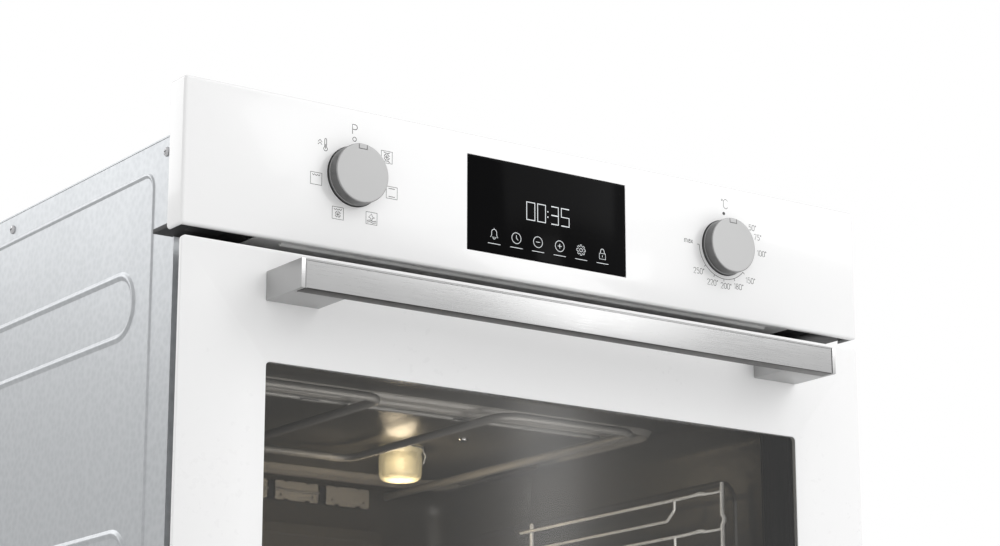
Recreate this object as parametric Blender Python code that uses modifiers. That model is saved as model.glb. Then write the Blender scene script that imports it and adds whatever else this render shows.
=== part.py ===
"""Built-in wall oven, 595 mm wide: carcass, enamelled cavity, control panel and drop-down glass door.

Metres. X runs to the right of someone facing the oven, Y runs into the cabinet and Z runs up. The origin
is under the middle of the base tray. Depths are counted back from the front face of the control panel.
"""

import math

import bmesh
import bpy
from mathutils import Matrix, Vector

# Front
FRONT_Y = -0.300  # Y of the control panel's front face
FRONT_WIDTH = 0.595
FRONT_TOP = 0.595
PANEL_HEIGHT = 0.1027
PANEL_DEPTH = 0.0195
PANEL_WALL = 0.002
PANEL_LIP = 0.004
PANEL_CORNER = 0.0022
VENT_GAP = 0.0075

# Display and knobs
DISPLAY_SIZE = (0.1410, 0.0700)
DISPLAY_Z = 0.5443
DISPLAY_THICK = 0.003
DISPLAY_CORNER = 0.0018
MODULE_SIZE = (0.132, 0.064)
BRACKET_SIZE = (0.540, 0.088)
BRACKET_Z = 0.544
BRACKET_DEPTH = (0.0240, 0.0252)
KNOB_X = 0.165
KNOB_Z = 0.546
KNOB_RADIUS = 0.021
KNOB_STAND_OUT = 0.0115
KNOB_SKIRT = 0.012
KNOB_WALL = 0.0018
KNOB_EDGE = 0.0012
KNOB_HOLE_RADIUS = 0.0216
SHAFT_RADIUS = 0.003
SHAFT_DEPTH = (0.0006, 0.0252)
SHAFT_BORE_RADIUS = 0.0034
SWITCH_HALF = 0.018
SWITCH_BACK = 0.054
THERMOSTAT_BACK = 0.0502
THERMOSTAT_RADIUS = 0.0175
THERMOSTAT_LENGTH = 0.0247

# Vent slot
VENT_BACK = 0.0445
TRIM_OUTER = 0.2950
TRIM_INNER = (0.2560, 0.2360)  # at the front and further back
TRIM_SLANT_DEPTH = 0.0200
TRIM_Z = 0.4960
TRIM_THICK = 0.004
DEFLECTOR_WIDTH = 0.4706
DEFLECTOR_Z = 0.4940
BEAD_HALF = 0.2145

# Door
DOOR_WIDTH = 0.593
DOOR_BOTTOM = 0.004
DOOR_TOP = FRONT_TOP - PANEL_HEIGHT - VENT_GAP
OUTER_GLASS = 0.004
MIDDLE_GLASS_DEPTH = (0.0200, 0.0230)
MIDDLE_GLASS_HALF = 0.2595
MIDDLE_GLASS_Z = (0.0530, 0.4630)
INNER_GLASS_DEPTH = (0.0365, 0.0405)
INNER_GLASS_HALF = 0.266
INNER_GLASS_Z = (0.0525, 0.470)
DOOR_FRAME_DEPTH = (0.0045, 0.0362)
DOOR_FRAME_HALF = 0.270
DOOR_SIDE_INNER = 0.260
DOOR_SIDE_Z = (0.0525, 0.4635)
DOOR_TOP_RAIL_Z = (0.4638, 0.4832)
DOOR_BOTTOM_RAIL_HALF = 0.240
DOOR_BOTTOM_RAIL_Z = (0.0065, 0.0500)
HINGE_DEPTH = 0.024
HINGE_Z = 0.020
HINGE_X = 0.252
HINGE_PIN_RADIUS = 0.003
HINGE_CHANNEL_X = (0.2480, 0.2572)
HINGE_CHANNEL_DEPTH = (0.0060, 0.0350)
HINGE_CHANNEL_Z = (0.0085, 0.0515)
HINGE_ARM_BACK = 0.115
HINGE_ARM_HALF = 0.007
HINGE_ARM_RADIUS = 0.0085

# Handle
HANDLE_HALF = 0.2325
HANDLE_Z = (0.4485, 0.4690)
HANDLE_MIDDLE_Z = sum(HANDLE_Z) / 2
HANDLE_FRONT = -0.0460
HANDLE_THICK = 0.0126
HANDLE_CAP = 0.003
HANDLE_FOOT = 0.041
HANDLE_SCREW_X = 0.212
HANDLE_SCREW_RADIUS = 0.0024

# Cavity
CAVITY_HALF = 0.2375
CAVITY_Z = (0.087, 0.434)
CAVITY_DEPTH = (0.0478, 0.488)
CAVITY_CORNER = 0.025
LINER_WALL = 0.0012
BAFFLE_DEPTH = 0.452
BAFFLE_HALF = 0.150
BAFFLE_Z = (0.112, 0.385)
STRIP_DEPTH = 0.4790
STRIP_HALF = 0.152
STRIP_Z = (0.4095, 0.4265)
STRIP_ROD_HALF = 0.1035
RACK_X = (0.2205, 0.2240)  # guide wires and uprights
RACK_DEPTH = (0.079, 0.332)
RACK_Z = (0.140, 0.384)
RACK_STOP_DEPTH = 0.134
RACK_TOP_LEVEL = 0.377
RACK_PITCH = 0.0295
RACK_LEVELS = 8
RACK_DROP = 0.016
WRAP_HALF = (0.2395, 0.2620)  # inside and outside
WRAP_DEPTH = (0.050, 0.484)
WRAP_Z = (0.052, 0.4605)
WRAP_INNER_Z = (0.070, 0.4365)

# Carcass
CARCASS_HALF = 0.2787
CARCASS_TOP = 0.5702
CARCASS_REAR = 0.5627
SHEET = 0.0012
FRAME_DEPTH = (0.0460, 0.0475)
FRAME_HALF = 0.2757
FRAME_Z = (0.006, 0.474)
SIDE_CASING_DEPTH = (0.0465, 0.5600)
SIDE_CASING_Z = (0.0018, 0.5686)
FLANGE_X = (0.2760, 0.2920)
FLANGE_DEPTH = (0.0200, 0.0600)
FLANGE_Z = (0.060, 0.488)
FLANGE_HOLE_X = 0.2845
FLANGE_HOLE_RADIUS = 0.0024
FLANGE_HOLES_Z = (0.120, 0.440)
TRAY_HALF = 0.2755
TRAY_DEPTH = (0.0480, 0.5595)
TRAY_LIP = 0.012
REAR_COVER_Z = (0.0018, 0.5686)
BOX_X = (0.150, 0.240)
BOX_BACK = 0.588
BOX_Z = (0.500, 0.555)

# Fans and heaters
FAN_Z = 0.2485
FAN_DEPTH = 0.4835
FAN_RADIUS = 0.070
FAN_BLADE_DEPTH = 0.4755
FAN_BLADE_CENTRE = 0.047
FAN_MOTOR_RADIUS = 0.032
FAN_MOTOR_BACK = 0.5535
RING_RADIUS = 0.092
RING_DEPTH = 0.476
RING_END_X = 0.020
RING_TOP = FAN_Z + math.sqrt(RING_RADIUS**2 - RING_END_X**2)
TUBE_RADIUS = 0.0033
HEATER_END = 0.500
GRILL_Z = 0.4235
GRILL_CENTRE = -0.0065
GRILL_LEG = 0.054
GRILL_OUTER = 0.181
GRILL_FRONT = 0.122
GRILL_BACK = 0.345
GRILL_ROD_DEPTH = 0.177
GRILL_ROD_HALF = 0.178
GRILL_ROD_RADIUS = 0.0022
BOTTOM_HEATER_Z = 0.0782
BOTTOM_HEATER_HALF = 0.170
BOTTOM_HEATER_DEPTH = (0.110, 0.430)
BOTTOM_HEATER_END_X = 0.030
BLOWER_DEPTH = 0.385
BLOWER_Z = 0.510
BLOWER_RADIUS = 0.030
BLOWER_HALF = 0.088
BLOWER_SCROLL = 0.0395
BLOWER_MOTOR_X = 0.126
DUCT_HALF = 0.185
DUCT_DEPTH = (0.0480, 0.3445)
DUCT_Z = (0.4755, 0.4930)
DUCT_WALL = 0.001

# Lamp and thermostat probe
LAMP_X = 0.0835
LAMP_DEPTH = 0.322
CUP_RADIUS = 0.0180
CUP_HEIGHT = 0.0292
CUP_WALL = 0.0016
PROBE_X = 0.200
PROBE_DEPTH = 0.410
PROBE_BULB_DEPTH = (0.290, 0.366)
PROBE_Z = (0.4245, 0.540)

GAP = 0.0003
THROUGH = 0.01  # how far a cutter reaches past what it cuts
SOFT_EDGE = 0.001
TURN_STEPS = 32
SIDE = {-1: "left", 1: "right"}

COLOURS = {
    "white_gloss": ((0.90, 0.90, 0.90), 0.12, 0.0),
    "black_gloss": ((0.010, 0.010, 0.012), 0.06, 0.0),
    "black_plastic": ((0.020, 0.020, 0.022), 0.50, 0.0),
    "knob_metal": ((0.60, 0.60, 0.60), 0.30, 0.9),
    "brushed_steel": ((0.62, 0.62, 0.62), 0.28, 1.0),
    "galvanised": ((0.58, 0.60, 0.62), 0.42, 0.9),
    "aluminium": ((0.70, 0.70, 0.72), 0.40, 0.9),
    "enamel": ((0.055, 0.054, 0.052), 0.22, 0.0),
    "heater": ((0.20, 0.20, 0.21), 0.38, 0.9),
    "chrome": ((0.80, 0.80, 0.82), 0.10, 1.0),
    "tinted_glass": ((0.12, 0.12, 0.12), 0.03, 0.0),
    "clear_glass": ((0.90, 0.92, 0.92), 0.03, 0.0),
    "lamp_glow": ((1.00, 0.86, 0.55), 0.30, 0.0),
    "ceramic": ((0.86, 0.84, 0.78), 0.60, 0.0),
    "insulation": ((0.78, 0.72, 0.48), 0.95, 0.0),
    "gasket": ((0.06, 0.06, 0.06), 0.80, 0.0),
    "circuit_board": ((0.03, 0.16, 0.07), 0.45, 0.0),
}


def clear_scene():
    for obj in list(bpy.data.objects):
        bpy.data.objects.remove(obj, do_unlink=True)


def collection(name, hidden=False):
    group = bpy.data.collections.new(name)
    group.hide_render = hidden
    bpy.context.scene.collection.children.link(group)
    return group


def material(name):
    found = bpy.data.materials.get(name)
    if found:
        return found
    colour, roughness, metallic = COLOURS[name]
    made = bpy.data.materials.new(name)
    made.use_nodes = True
    shader = made.node_tree.nodes["Principled BSDF"]
    shader.inputs["Base Color"].default_value = (*colour, 1.0)
    shader.inputs["Roughness"].default_value = roughness
    shader.inputs["Metallic"].default_value = metallic
    return made


def register(name, data, finish, group=None):
    """Links one object, in the parts unless a group is given."""
    obj = bpy.data.objects.new(name, data)
    (group or PARTS).objects.link(obj)
    if finish:
        data.materials.append(material(finish))
    return obj


def mesh_from(builder, name, centre=(0, 0, 0)):
    """A mesh whose origin is at centre, from a bmesh built in world coordinates."""
    builder.transform(Matrix.Translation(-Vector(centre)))
    data = bpy.data.meshes.new(name)
    builder.to_mesh(data)
    builder.free()
    return data


def span(middle, size):
    """The two ends of a length about its middle."""
    return (middle - size / 2, middle + size / 2)


def block_bmesh(x, depth, z):
    """A box between two X values, two depths and two heights."""
    low = Vector((x[0], FRONT_Y + depth[0], z[0]))
    high = Vector((x[1], FRONT_Y + depth[1], z[1]))
    builder = bmesh.new()
    bmesh.ops.create_cube(builder, size=1.0)
    size = high - low
    bmesh.ops.scale(builder, vec=size, verts=builder.verts)
    bmesh.ops.translate(builder, vec=(low + high) / 2, verts=builder.verts)
    return builder, (low + high) / 2


def round_edges(obj, width, segments=2):
    bevel = obj.modifiers.new("Rounded edges", "BEVEL")
    bevel.width = width
    bevel.segments = segments
    bevel.limit_method = "ANGLE"
    bevel.angle_limit = math.radians(40)
    return obj


def block(name, x, depth, z, finish, bevel=0.0, segments=1, group=None):
    builder, centre = block_bmesh(x, depth, z)
    obj = register(name, mesh_from(builder, name, centre), finish, group)
    obj.location = centre
    if bevel:
        round_edges(obj, bevel, segments)
    return obj


def cylinder(name, centre, radius, length, axis, finish=None, steps=32, group=None):
    """A cylinder about X, Y or Z."""
    builder = bmesh.new()
    bmesh.ops.create_cone(
        builder, cap_ends=True, segments=steps, radius1=radius, radius2=radius, depth=length
    )
    obj = register(name, mesh_from(builder, name), finish, group)
    turn = {"X": (0, math.pi / 2, 0), "Y": (math.pi / 2, 0, 0), "Z": (0, 0, 0)}
    obj.rotation_euler = turn[axis]
    obj.location = (centre[0], FRONT_Y + centre[1], centre[2])
    smooth(obj)
    return obj


def block_cutter(x, depth, z, bevel=0.0):
    """A box that is only used in Booleans."""
    return block("cutter", x, depth, z, None, bevel=bevel, group=CUTTERS)


def drill(centre, radius, axis, reach=None, steps=16):
    """A cylinder that is only used in Booleans, reaching as far on both sides of its centre."""
    length = 2 * (reach or THROUGH)
    return cylinder("cutter", centre, radius, length, axis, steps=steps, group=CUTTERS)


def smooth(obj):
    obj.data.shade_smooth()
    obj.data.set_sharp_from_angle(angle=math.radians(35))


def turned(name, profile, centre, axis, finish, steps=TURN_STEPS):
    """Turns (radius, height) points about an axis: heights run along Z, or out of the front for Y."""
    builder = bmesh.new()
    verts = [builder.verts.new((radius, 0, height)) for radius, height in profile]
    for first, second in zip(verts, verts[1:]):
        if first.co.x or second.co.x:
            builder.edges.new((first, second))
    obj = register(name, mesh_from(builder, name), finish)
    screw = obj.modifiers.new("Turned", "SCREW")
    screw.steps = steps
    screw.render_steps = steps
    screw.use_merge_vertices = True
    screw.merge_threshold = 0.0001
    screw.use_smooth_shade = True
    obj.location = (centre[0], FRONT_Y + centre[1], centre[2])
    if axis == "Y":
        obj.rotation_euler = (math.pi / 2, 0, 0)
    return obj


def rounded_rectangle(width, height, radius, centre=(0, 0), steps=3):
    """Corner arcs of a rounded rectangle, as (x, y) points."""
    points = []
    for corner, (sx, sy) in enumerate(((1, 1), (-1, 1), (-1, -1), (1, -1))):
        middle = (centre[0] + sx * (width / 2 - radius), centre[1] + sy * (height / 2 - radius))
        for step in range(steps + 1):
            angle = math.pi / 2 * (corner + step / steps)
            points.append((middle[0] + radius * math.cos(angle), middle[1] + radius * math.sin(angle)))
    return points


def circle(radius, centre=(0, 0), steps=20):
    turns = [2 * math.pi * step / steps for step in range(steps)]
    return [(centre[0] + radius * math.cos(a), centre[1] + radius * math.sin(a)) for a in turns]


def plate(name, outlines, thickness, plane, finish, group=None):
    """A flat sheet from closed outlines, the first one outside and the others holes in it.

    plane is XZ (standing, facing the front), XY (lying) or YZ (standing, facing the side).
    """
    data = bpy.data.curves.new(name, "CURVE")
    data.dimensions = "2D"
    data.fill_mode = "BOTH"
    data.extrude = thickness / 2
    for outline in outlines:
        spline = data.splines.new("POLY")
        spline.points.add(len(outline) - 1)
        spline.use_cyclic_u = True
        for point, (x, y) in zip(spline.points, outline):
            point.co = (x, y, 0, 1)
    obj = register(name, data, finish, group)
    turn = {
        "XZ": (math.pi / 2, 0, 0),
        "XY": (0, 0, 0),
        "YZ": (math.pi / 2, 0, math.pi / 2),
    }
    obj.rotation_euler = turn[plane]
    return obj


def as_mesh(obj):
    """Replaces a curve object by its welded mesh, so that it can be cut or joined."""
    bpy.context.view_layer.update()
    graph = bpy.context.evaluated_depsgraph_get()
    name = obj.name
    data = bpy.data.meshes.new_from_object(obj.evaluated_get(graph))
    builder = bmesh.new()
    builder.from_mesh(data)
    bmesh.ops.remove_doubles(builder, verts=builder.verts, dist=0.00002)
    bmesh.ops.recalc_face_normals(builder, faces=builder.faces)
    builder.to_mesh(data)
    builder.free()
    made = bpy.data.objects.new(name, data)
    obj.users_collection[0].objects.link(made)
    made.matrix_world = obj.matrix_world.copy()
    bpy.data.objects.remove(obj, do_unlink=True)
    made.name = name
    return made


def join_helpers(name, helpers):
    """One helper object out of several that don't touch each other."""
    bpy.context.view_layer.update()
    builder = bmesh.new()
    for helper in helpers:
        piece = bmesh.new()
        piece.from_mesh(helper.data)
        piece.transform(helper.matrix_world)
        scratch = bpy.data.meshes.new("scratch")
        piece.to_mesh(scratch)
        piece.free()
        builder.from_mesh(scratch)
        bpy.data.meshes.remove(scratch)
        bpy.data.objects.remove(helper, do_unlink=True)
    joined = register(name, mesh_from(builder, name), None, CUTTERS)
    joined.display_type = "WIRE"
    joined.hide_render = True
    return joined


def combine(obj, helpers, operation):
    """A Boolean of an object with helpers that don't touch each other."""
    joined = join_helpers(f"{obj.name}_{operation.lower()}", helpers)
    boolean = obj.modifiers.new(operation.title(), "BOOLEAN")
    boolean.operation = operation
    boolean.object = joined
    return obj


def cut(obj, helpers):
    return combine(obj, helpers, "DIFFERENCE")


def weld_on(obj, helpers):
    return combine(obj, helpers, "UNION")


def bent_path(points, radius, steps=3):
    """Points of a polyline whose corners are arcs of a given bend radius."""
    path = [Vector(points[0])]
    for before, corner, after in zip(points, points[1:], points[2:]):
        corner = Vector(corner)
        into = (Vector(before) - corner).normalized()
        out = (Vector(after) - corner).normalized()
        half = into.angle(out) / 2
        reach = radius / math.tan(half)
        centre = corner + (into + out).normalized() * (radius / math.sin(half))
        start = corner + into * reach - centre
        end = corner + out * reach - centre
        for step in range(steps + 1):
            path.append(centre + start.slerp(end, step / steps).normalized() * radius)
    path.append(Vector(points[-1]))
    return path


def tube(name, paths, radius, finish, cyclic=False, sides=2, group=None, radii=None):
    """Round wire along one or more paths of (x, depth, z) points."""
    data = bpy.data.curves.new(name, "CURVE")
    data.dimensions = "3D"
    data.bevel_depth = radius
    data.bevel_resolution = sides
    data.use_fill_caps = True
    for path in paths:
        spline = data.splines.new("POLY")
        spline.points.add(len(path) - 1)
        spline.use_cyclic_u = cyclic
        for place, (point, (x, depth, z)) in enumerate(zip(spline.points, path)):
            point.co = (x, FRONT_Y + depth, z, 1)
            point.radius = radii[place] if radii else 1.0
    return register(name, data, finish, group)


def folded_sheet(name, profile, length, finish, thickness=SHEET, axis="X", centre=0.0):
    """Sheet metal: an open (depth, z) profile drawn out along X, or an (x, depth) one along Z."""
    builder = bmesh.new()
    rows = []
    for end in (centre - length / 2, centre + length / 2):
        if axis == "X":
            rows.append([builder.verts.new((end, FRONT_Y + a, b)) for a, b in profile])
        else:
            rows.append([builder.verts.new((a, FRONT_Y + b, end)) for a, b in profile])
    for index in range(len(profile) - 1):
        builder.faces.new((rows[0][index], rows[0][index + 1], rows[1][index + 1], rows[1][index]))
    obj = register(name, mesh_from(builder, name), finish)
    shell = obj.modifiers.new("Sheet", "SOLIDIFY")
    shell.thickness = thickness
    shell.offset = 1.0
    shell.use_even_offset = True
    return obj


def open_box(name, x, depth, z, wall, missing, finish, corner=0.0, outward=True, steps=3):
    """A sheet box with one or more faces missing, named by their outward normals."""
    builder, centre = block_bmesh(x, depth, z)
    normals = [Vector(side) for side in missing]
    kept_edges = [
        edge
        for edge in builder.edges
        if not any(face.normal.dot(side) > 0.9 for face in edge.link_faces for side in normals)
    ]
    doomed = [f for f in builder.faces if any(f.normal.dot(side) > 0.9 for side in normals)]
    bmesh.ops.delete(builder, geom=doomed, context="FACES")
    if corner:
        bmesh.ops.bevel(
            builder, geom=kept_edges, offset=corner, segments=steps, affect="EDGES", profile=0.5
        )
    obj = register(name, mesh_from(builder, name, centre), finish)
    obj.location = centre
    shell = obj.modifiers.new("Wall", "SOLIDIFY")
    shell.thickness = wall
    shell.offset = 1.0 if outward else -1.0
    shell.use_even_offset = True
    return obj


# Control panel


def control_panel_fascia():
    half = FRONT_WIDTH / 2
    bottom = FRONT_TOP - PANEL_HEIGHT
    fascia = open_box(
        "control_panel_fascia",
        (-half, half),
        (0, PANEL_DEPTH),
        (bottom, FRONT_TOP),
        PANEL_WALL,
        [(0, 1, 0)],
        "white_gloss",
        corner=PANEL_CORNER,
        outward=False,
        steps=2,
    )
    width, height = DISPLAY_SIZE
    window = block_cutter(
        span(0, width + 2 * GAP), (-THROUGH, THROUGH), span(DISPLAY_Z, height + 2 * GAP)
    )
    inner = half - PANEL_WALL - GAP
    under = block_cutter(
        (-inner, inner),
        (PANEL_LIP, PANEL_DEPTH + THROUGH),
        (bottom - THROUGH, bottom + PANEL_WALL + 2 * GAP),
    )
    holes = [drill((x, 0, KNOB_Z), KNOB_HOLE_RADIUS, "Y", steps=40) for x in (-KNOB_X, KNOB_X)]
    return cut(fascia, [window, under, *holes])


def display_glass():
    width, height = DISPLAY_SIZE
    outline = rounded_rectangle(width, height, DISPLAY_CORNER, (0, DISPLAY_Z))
    glass = plate("display_glass", [outline], DISPLAY_THICK, "XZ", "black_gloss")
    glass.location.y = FRONT_Y + DISPLAY_THICK / 2
    return glass


def display_module():
    width, height = MODULE_SIZE
    depth = (DISPLAY_THICK + GAP, BRACKET_DEPTH[0] - GAP)
    z = span(DISPLAY_Z, height)
    return block("display_module", span(0, width), depth, z, "circuit_board", bevel=SOFT_EDGE)


def panel_bracket():
    """Sheet behind the fascia that carries the display and both controls."""
    width, height = BRACKET_SIZE
    corner, shaft_hole = 0.004, 0.005
    slot_x, slot_z, slot_width, slot_height, slot_corner = 0.100, 0.515, 0.030, 0.008, 0.003
    outline = rounded_rectangle(width, height, corner, (0, BRACKET_Z), steps=2)
    holes = [circle(shaft_hole, (x, KNOB_Z), 16) for x in (-KNOB_X, KNOB_X)]
    slots = [
        rounded_rectangle(slot_width, slot_height, slot_corner, (x, slot_z), steps=2)
        for x in (-slot_x, slot_x)
    ]
    thickness = BRACKET_DEPTH[1] - BRACKET_DEPTH[0]
    bracket = plate("panel_bracket", [outline, *holes, *slots], thickness, "XZ", "galvanised")
    bracket.location.y = FRONT_Y + sum(BRACKET_DEPTH) / 2
    return bracket


def function_switch():
    """Rotary switch body with six blade terminals at the back."""
    x, z = -KNOB_X, KNOB_Z
    width = 2 * SWITCH_HALF
    depth = (BRACKET_DEPTH[1] + GAP, SWITCH_BACK)
    body = block("function_switch", span(x, width), depth, span(z, width), "black_plastic", bevel=0.0015)
    thick, tall, sink, reach = 0.001, 0.006, 0.001, 0.007
    tab_depth = (SWITCH_BACK - sink, SWITCH_BACK + reach)
    tabs = [
        block_cutter((x + dx, x + dx + thick), tab_depth, (z + dz, z + dz + tall))
        for dx in (-0.012, 0.0, 0.011)
        for dz in (-0.012, 0.006)
    ]
    return weld_on(body, tabs)


def thermostat_body():
    """Stepped can. Heights run forward from its back face."""
    case, neck, length, edge = THERMOSTAT_RADIUS, THERMOSTAT_RADIUS - 0.0025, THERMOSTAT_LENGTH, 0.001
    neck_height, shoulder = 0.008, 0.010
    profile = [
        (0, length),
        (case - edge, length),
        (case, length - edge),
        (case, shoulder),
        (neck, neck_height),
        (neck, edge),
        (neck - edge, 0),
        (0, 0),
    ]
    return turned("thermostat_body", profile, (KNOB_X, THERMOSTAT_BACK, KNOB_Z), "Y", "galvanised", 28)


def control_shaft(name, x):
    """A D-shaped shaft from the switch to just inside the knob."""
    flat = math.radians(40)
    steps = 14
    angles = [flat + (2 * math.pi - 2 * flat) * step / steps for step in range(steps + 1)]
    outline = [(SHAFT_RADIUS * math.sin(a), SHAFT_RADIUS * math.cos(a)) for a in reversed(angles)]
    shaft = plate(name, [outline], SHAFT_DEPTH[1] - SHAFT_DEPTH[0], "XZ", "galvanised")
    shaft.location = (x, FRONT_Y + sum(SHAFT_DEPTH) / 2, KNOB_Z)
    return shaft


def knob(name, x):
    """A hollow turned knob with a boss that slides on the shaft. Heights run out of the front."""
    front, back = KNOB_STAND_OUT, -KNOB_SKIRT
    ceiling = front - KNOB_WALL
    boss_root, boss_end, boss_back = 0.0062, 0.0058, back + 0.004
    bore_end = front - 0.0025
    profile = [
        (0, front),
        (KNOB_RADIUS - KNOB_EDGE, front),
        (KNOB_RADIUS, front - KNOB_EDGE),
        (KNOB_RADIUS, back),
        (KNOB_RADIUS - KNOB_WALL, back),
        (KNOB_RADIUS - KNOB_WALL, ceiling),
        (boss_root, ceiling),
        (boss_end, boss_back),
        (SHAFT_BORE_RADIUS, boss_back),
        (SHAFT_BORE_RADIUS, bore_end),
        (0, bore_end),
    ]
    made = turned(name, profile, (x, 0, KNOB_Z), "Y", "knob_metal")
    return cut(made, [knob_mark(x)])


def knob_mark(x):
    """Cutter for the pointer notch at the top of a knob's face."""
    width, length, deep, over = 0.007, 0.0042, 0.0007, 0.001
    rim = KNOB_Z + KNOB_RADIUS
    face = -KNOB_STAND_OUT
    return block_cutter(span(x, width), (face - 2 * over, face + deep), (rim - length, rim + over))


# Vent slot between the panel and the door


def vent_trim(side):
    """Matt end piece of the vent slot, with a slanted inner edge."""
    front, back = PANEL_LIP + GAP, VENT_BACK - 0.0005
    near, far = TRIM_INNER
    outline = [(TRIM_OUTER, front), (near, front), (far, TRIM_SLANT_DEPTH), (far, back), (TRIM_OUTER, back)]
    outline = [(side * x, FRONT_Y + depth) for x, depth in outline]
    trim = plate(f"vent_trim_{SIDE[side]}", [outline], TRIM_THICK, "XY", "black_plastic")
    trim.location.z = TRIM_Z
    return trim


def vent_deflector():
    """Sheet across the vent slot, turned up at both edges, with a raised bead near the front."""
    front, back, z = PANEL_LIP + GAP, VENT_BACK, DEFLECTOR_Z
    front_lip, back_lip = 0.0025, 0.0045
    profile = [(front, z + front_lip), (front, z), (back, z), (back, z + back_lip)]
    sheet = folded_sheet("vent_deflector", profile, DEFLECTOR_WIDTH, "galvanised", thickness=-0.001)
    bead_depth, hang, sink = (0.0125, 0.0160), 0.0018, 0.0005
    bead = block_cutter((-BEAD_HALF, BEAD_HALF), bead_depth, (z - hang, z + sink), bevel=SOFT_EDGE)
    return weld_on(sheet, [as_mesh(bead)])


# Cavity


def cavity_liner():
    """Open enamelled box with holes for the lamp, the probe, the fan shaft and the heater ends."""
    liner = open_box(
        "cavity_liner",
        (-CAVITY_HALF, CAVITY_HALF),
        CAVITY_DEPTH,
        CAVITY_Z,
        LINER_WALL,
        [(0, -1, 0)],
        "enamel",
        corner=CAVITY_CORNER,
        steps=4,
    )
    roof, rear = CAVITY_Z[1], CAVITY_DEPTH[1]
    lamp_hole, probe_hole, fan_hole = 0.0145, 0.0018, 0.0065
    tube_hole = TUBE_RADIUS + 0.0005
    holes = [
        drill((LAMP_X, LAMP_DEPTH, roof), lamp_hole, "Z", reach=THROUGH / 2, steps=24),
        drill((PROBE_X, PROBE_DEPTH, roof), probe_hole, "Z", reach=THROUGH / 2, steps=12),
        drill((0, rear, FAN_Z), fan_hole, "Y", reach=THROUGH / 2, steps=20),
    ]
    for side in SIDE:
        holes.append(drill((side * RING_END_X, rear, RING_TOP), tube_hole, "Y", reach=THROUGH / 2))
        grill_end = (GRILL_CENTRE + side * GRILL_OUTER, rear, GRILL_Z)
        holes.append(drill(grill_end, tube_hole, "Y", reach=1.5 * THROUGH))
    return cut(liner, holes)


def front_frame():
    """Flat frame round the cavity mouth, slotted for the hinge arms."""
    corner, slot_width, slot_height, slot_corner = 0.003, 0.0075, 0.024, 0.001
    outline = rounded_rectangle(2 * FRAME_HALF, FRAME_Z[1] - FRAME_Z[0], corner, (0, sum(FRAME_Z) / 2), 1)
    mouth = rounded_rectangle(
        2 * CAVITY_HALF, CAVITY_Z[1] - CAVITY_Z[0], CAVITY_CORNER, (0, sum(CAVITY_Z) / 2), 4
    )
    slots = [
        rounded_rectangle(slot_width, slot_height, slot_corner, (side * HINGE_X, HINGE_Z), 1)
        for side in SIDE
    ]
    thickness = FRAME_DEPTH[1] - FRAME_DEPTH[0]
    frame = plate("front_frame", [outline, mouth, *slots], thickness, "XZ", "enamel")
    frame.location.y = FRONT_Y + sum(FRAME_DEPTH) / 2
    return frame


def door_gasket():
    """Seal round the cavity mouth, just clear of the closed inner pane."""
    overlap, corner, depth, radius = 0.008, 0.030, 0.0432, 0.0022
    width = 2 * (CAVITY_HALF + overlap)
    height = CAVITY_Z[1] - CAVITY_Z[0] + 2 * overlap
    outline = rounded_rectangle(width, height, corner, (0, sum(CAVITY_Z) / 2), 4)
    path = [(x, depth, z) for x, z in outline]
    return tube("door_gasket", [path], radius, "gasket", cyclic=True)


def insulation_wrap():
    """Mineral wool sleeve round the liner, open at the front and the back."""
    inner, outer = WRAP_HALF
    wrap = block("insulation_wrap", (-outer, outer), WRAP_DEPTH, WRAP_Z, "insulation")
    through = (WRAP_DEPTH[0] - THROUGH, WRAP_DEPTH[1] + 2 * THROUGH)
    inside = block_cutter((-inner, inner), through, WRAP_INNER_Z)
    middle, lamp_room, probe_room = 0.450, 0.0165, 0.003
    lamp = drill((LAMP_X, LAMP_DEPTH, middle), lamp_room, "Z", reach=2 * THROUGH, steps=24)
    probe = drill((PROBE_X, PROBE_DEPTH, middle), probe_room, "Z", reach=2 * THROUGH, steps=12)
    return cut(cut(wrap, [inside]), [lamp, probe])


def fan_baffle():
    """Pan in front of the convection fan, with a round intake grille."""
    wall, corner = 0.001, 0.006
    pan = open_box(
        "fan_baffle",
        (-BAFFLE_HALF, BAFFLE_HALF),
        (BAFFLE_DEPTH, CAVITY_DEPTH[1] - GAP),
        BAFFLE_Z,
        wall,
        [(0, 1, 0)],
        "enamel",
        corner=corner,
        outward=False,
        steps=2,
    )
    hole_radius, inner_ring, outer_ring = 0.0092, 0.022, 0.050
    holes = []
    for ring_radius, count in ((inner_ring, 5), (outer_ring, 10)):
        for x, z in circle(ring_radius, (0, FAN_Z), count):
            holes.append(drill((x, BAFFLE_DEPTH, z), hole_radius, "Y", reach=THROUGH / 2, steps=8))
    return cut(pan, holes)


def rear_vent_strip():
    """Notched strip with a rod along the top of the rear wall."""
    low, high = STRIP_Z
    notch_half, notch_height = 0.006, 0.004
    bottom = [(-STRIP_HALF, low)]
    for x in (-0.100, -0.052, 0.052, 0.100):
        bottom += [(x - notch_half, low), (x - notch_half, low + notch_height)]
        bottom += [(x + notch_half, low + notch_height), (x + notch_half, low)]
    outline = [*bottom, (STRIP_HALF, low), (STRIP_HALF, high), (-STRIP_HALF, high)]
    strip = plate("rear_vent_strip", [outline], SHEET, "XZ", "enamel")
    strip.location.y = FRONT_Y + STRIP_DEPTH
    rod_radius, rod_depth, rod_z = 0.0015, STRIP_DEPTH - 0.0011, low + 0.0088
    ends = [(-STRIP_ROD_HALF, rod_depth, rod_z), (STRIP_ROD_HALF, rod_depth, rod_z)]
    rod = tube("rod", [ends], rod_radius, None, sides=1, group=CUTTERS)
    return weld_on(as_mesh(strip), [as_mesh(rod)])


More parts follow.
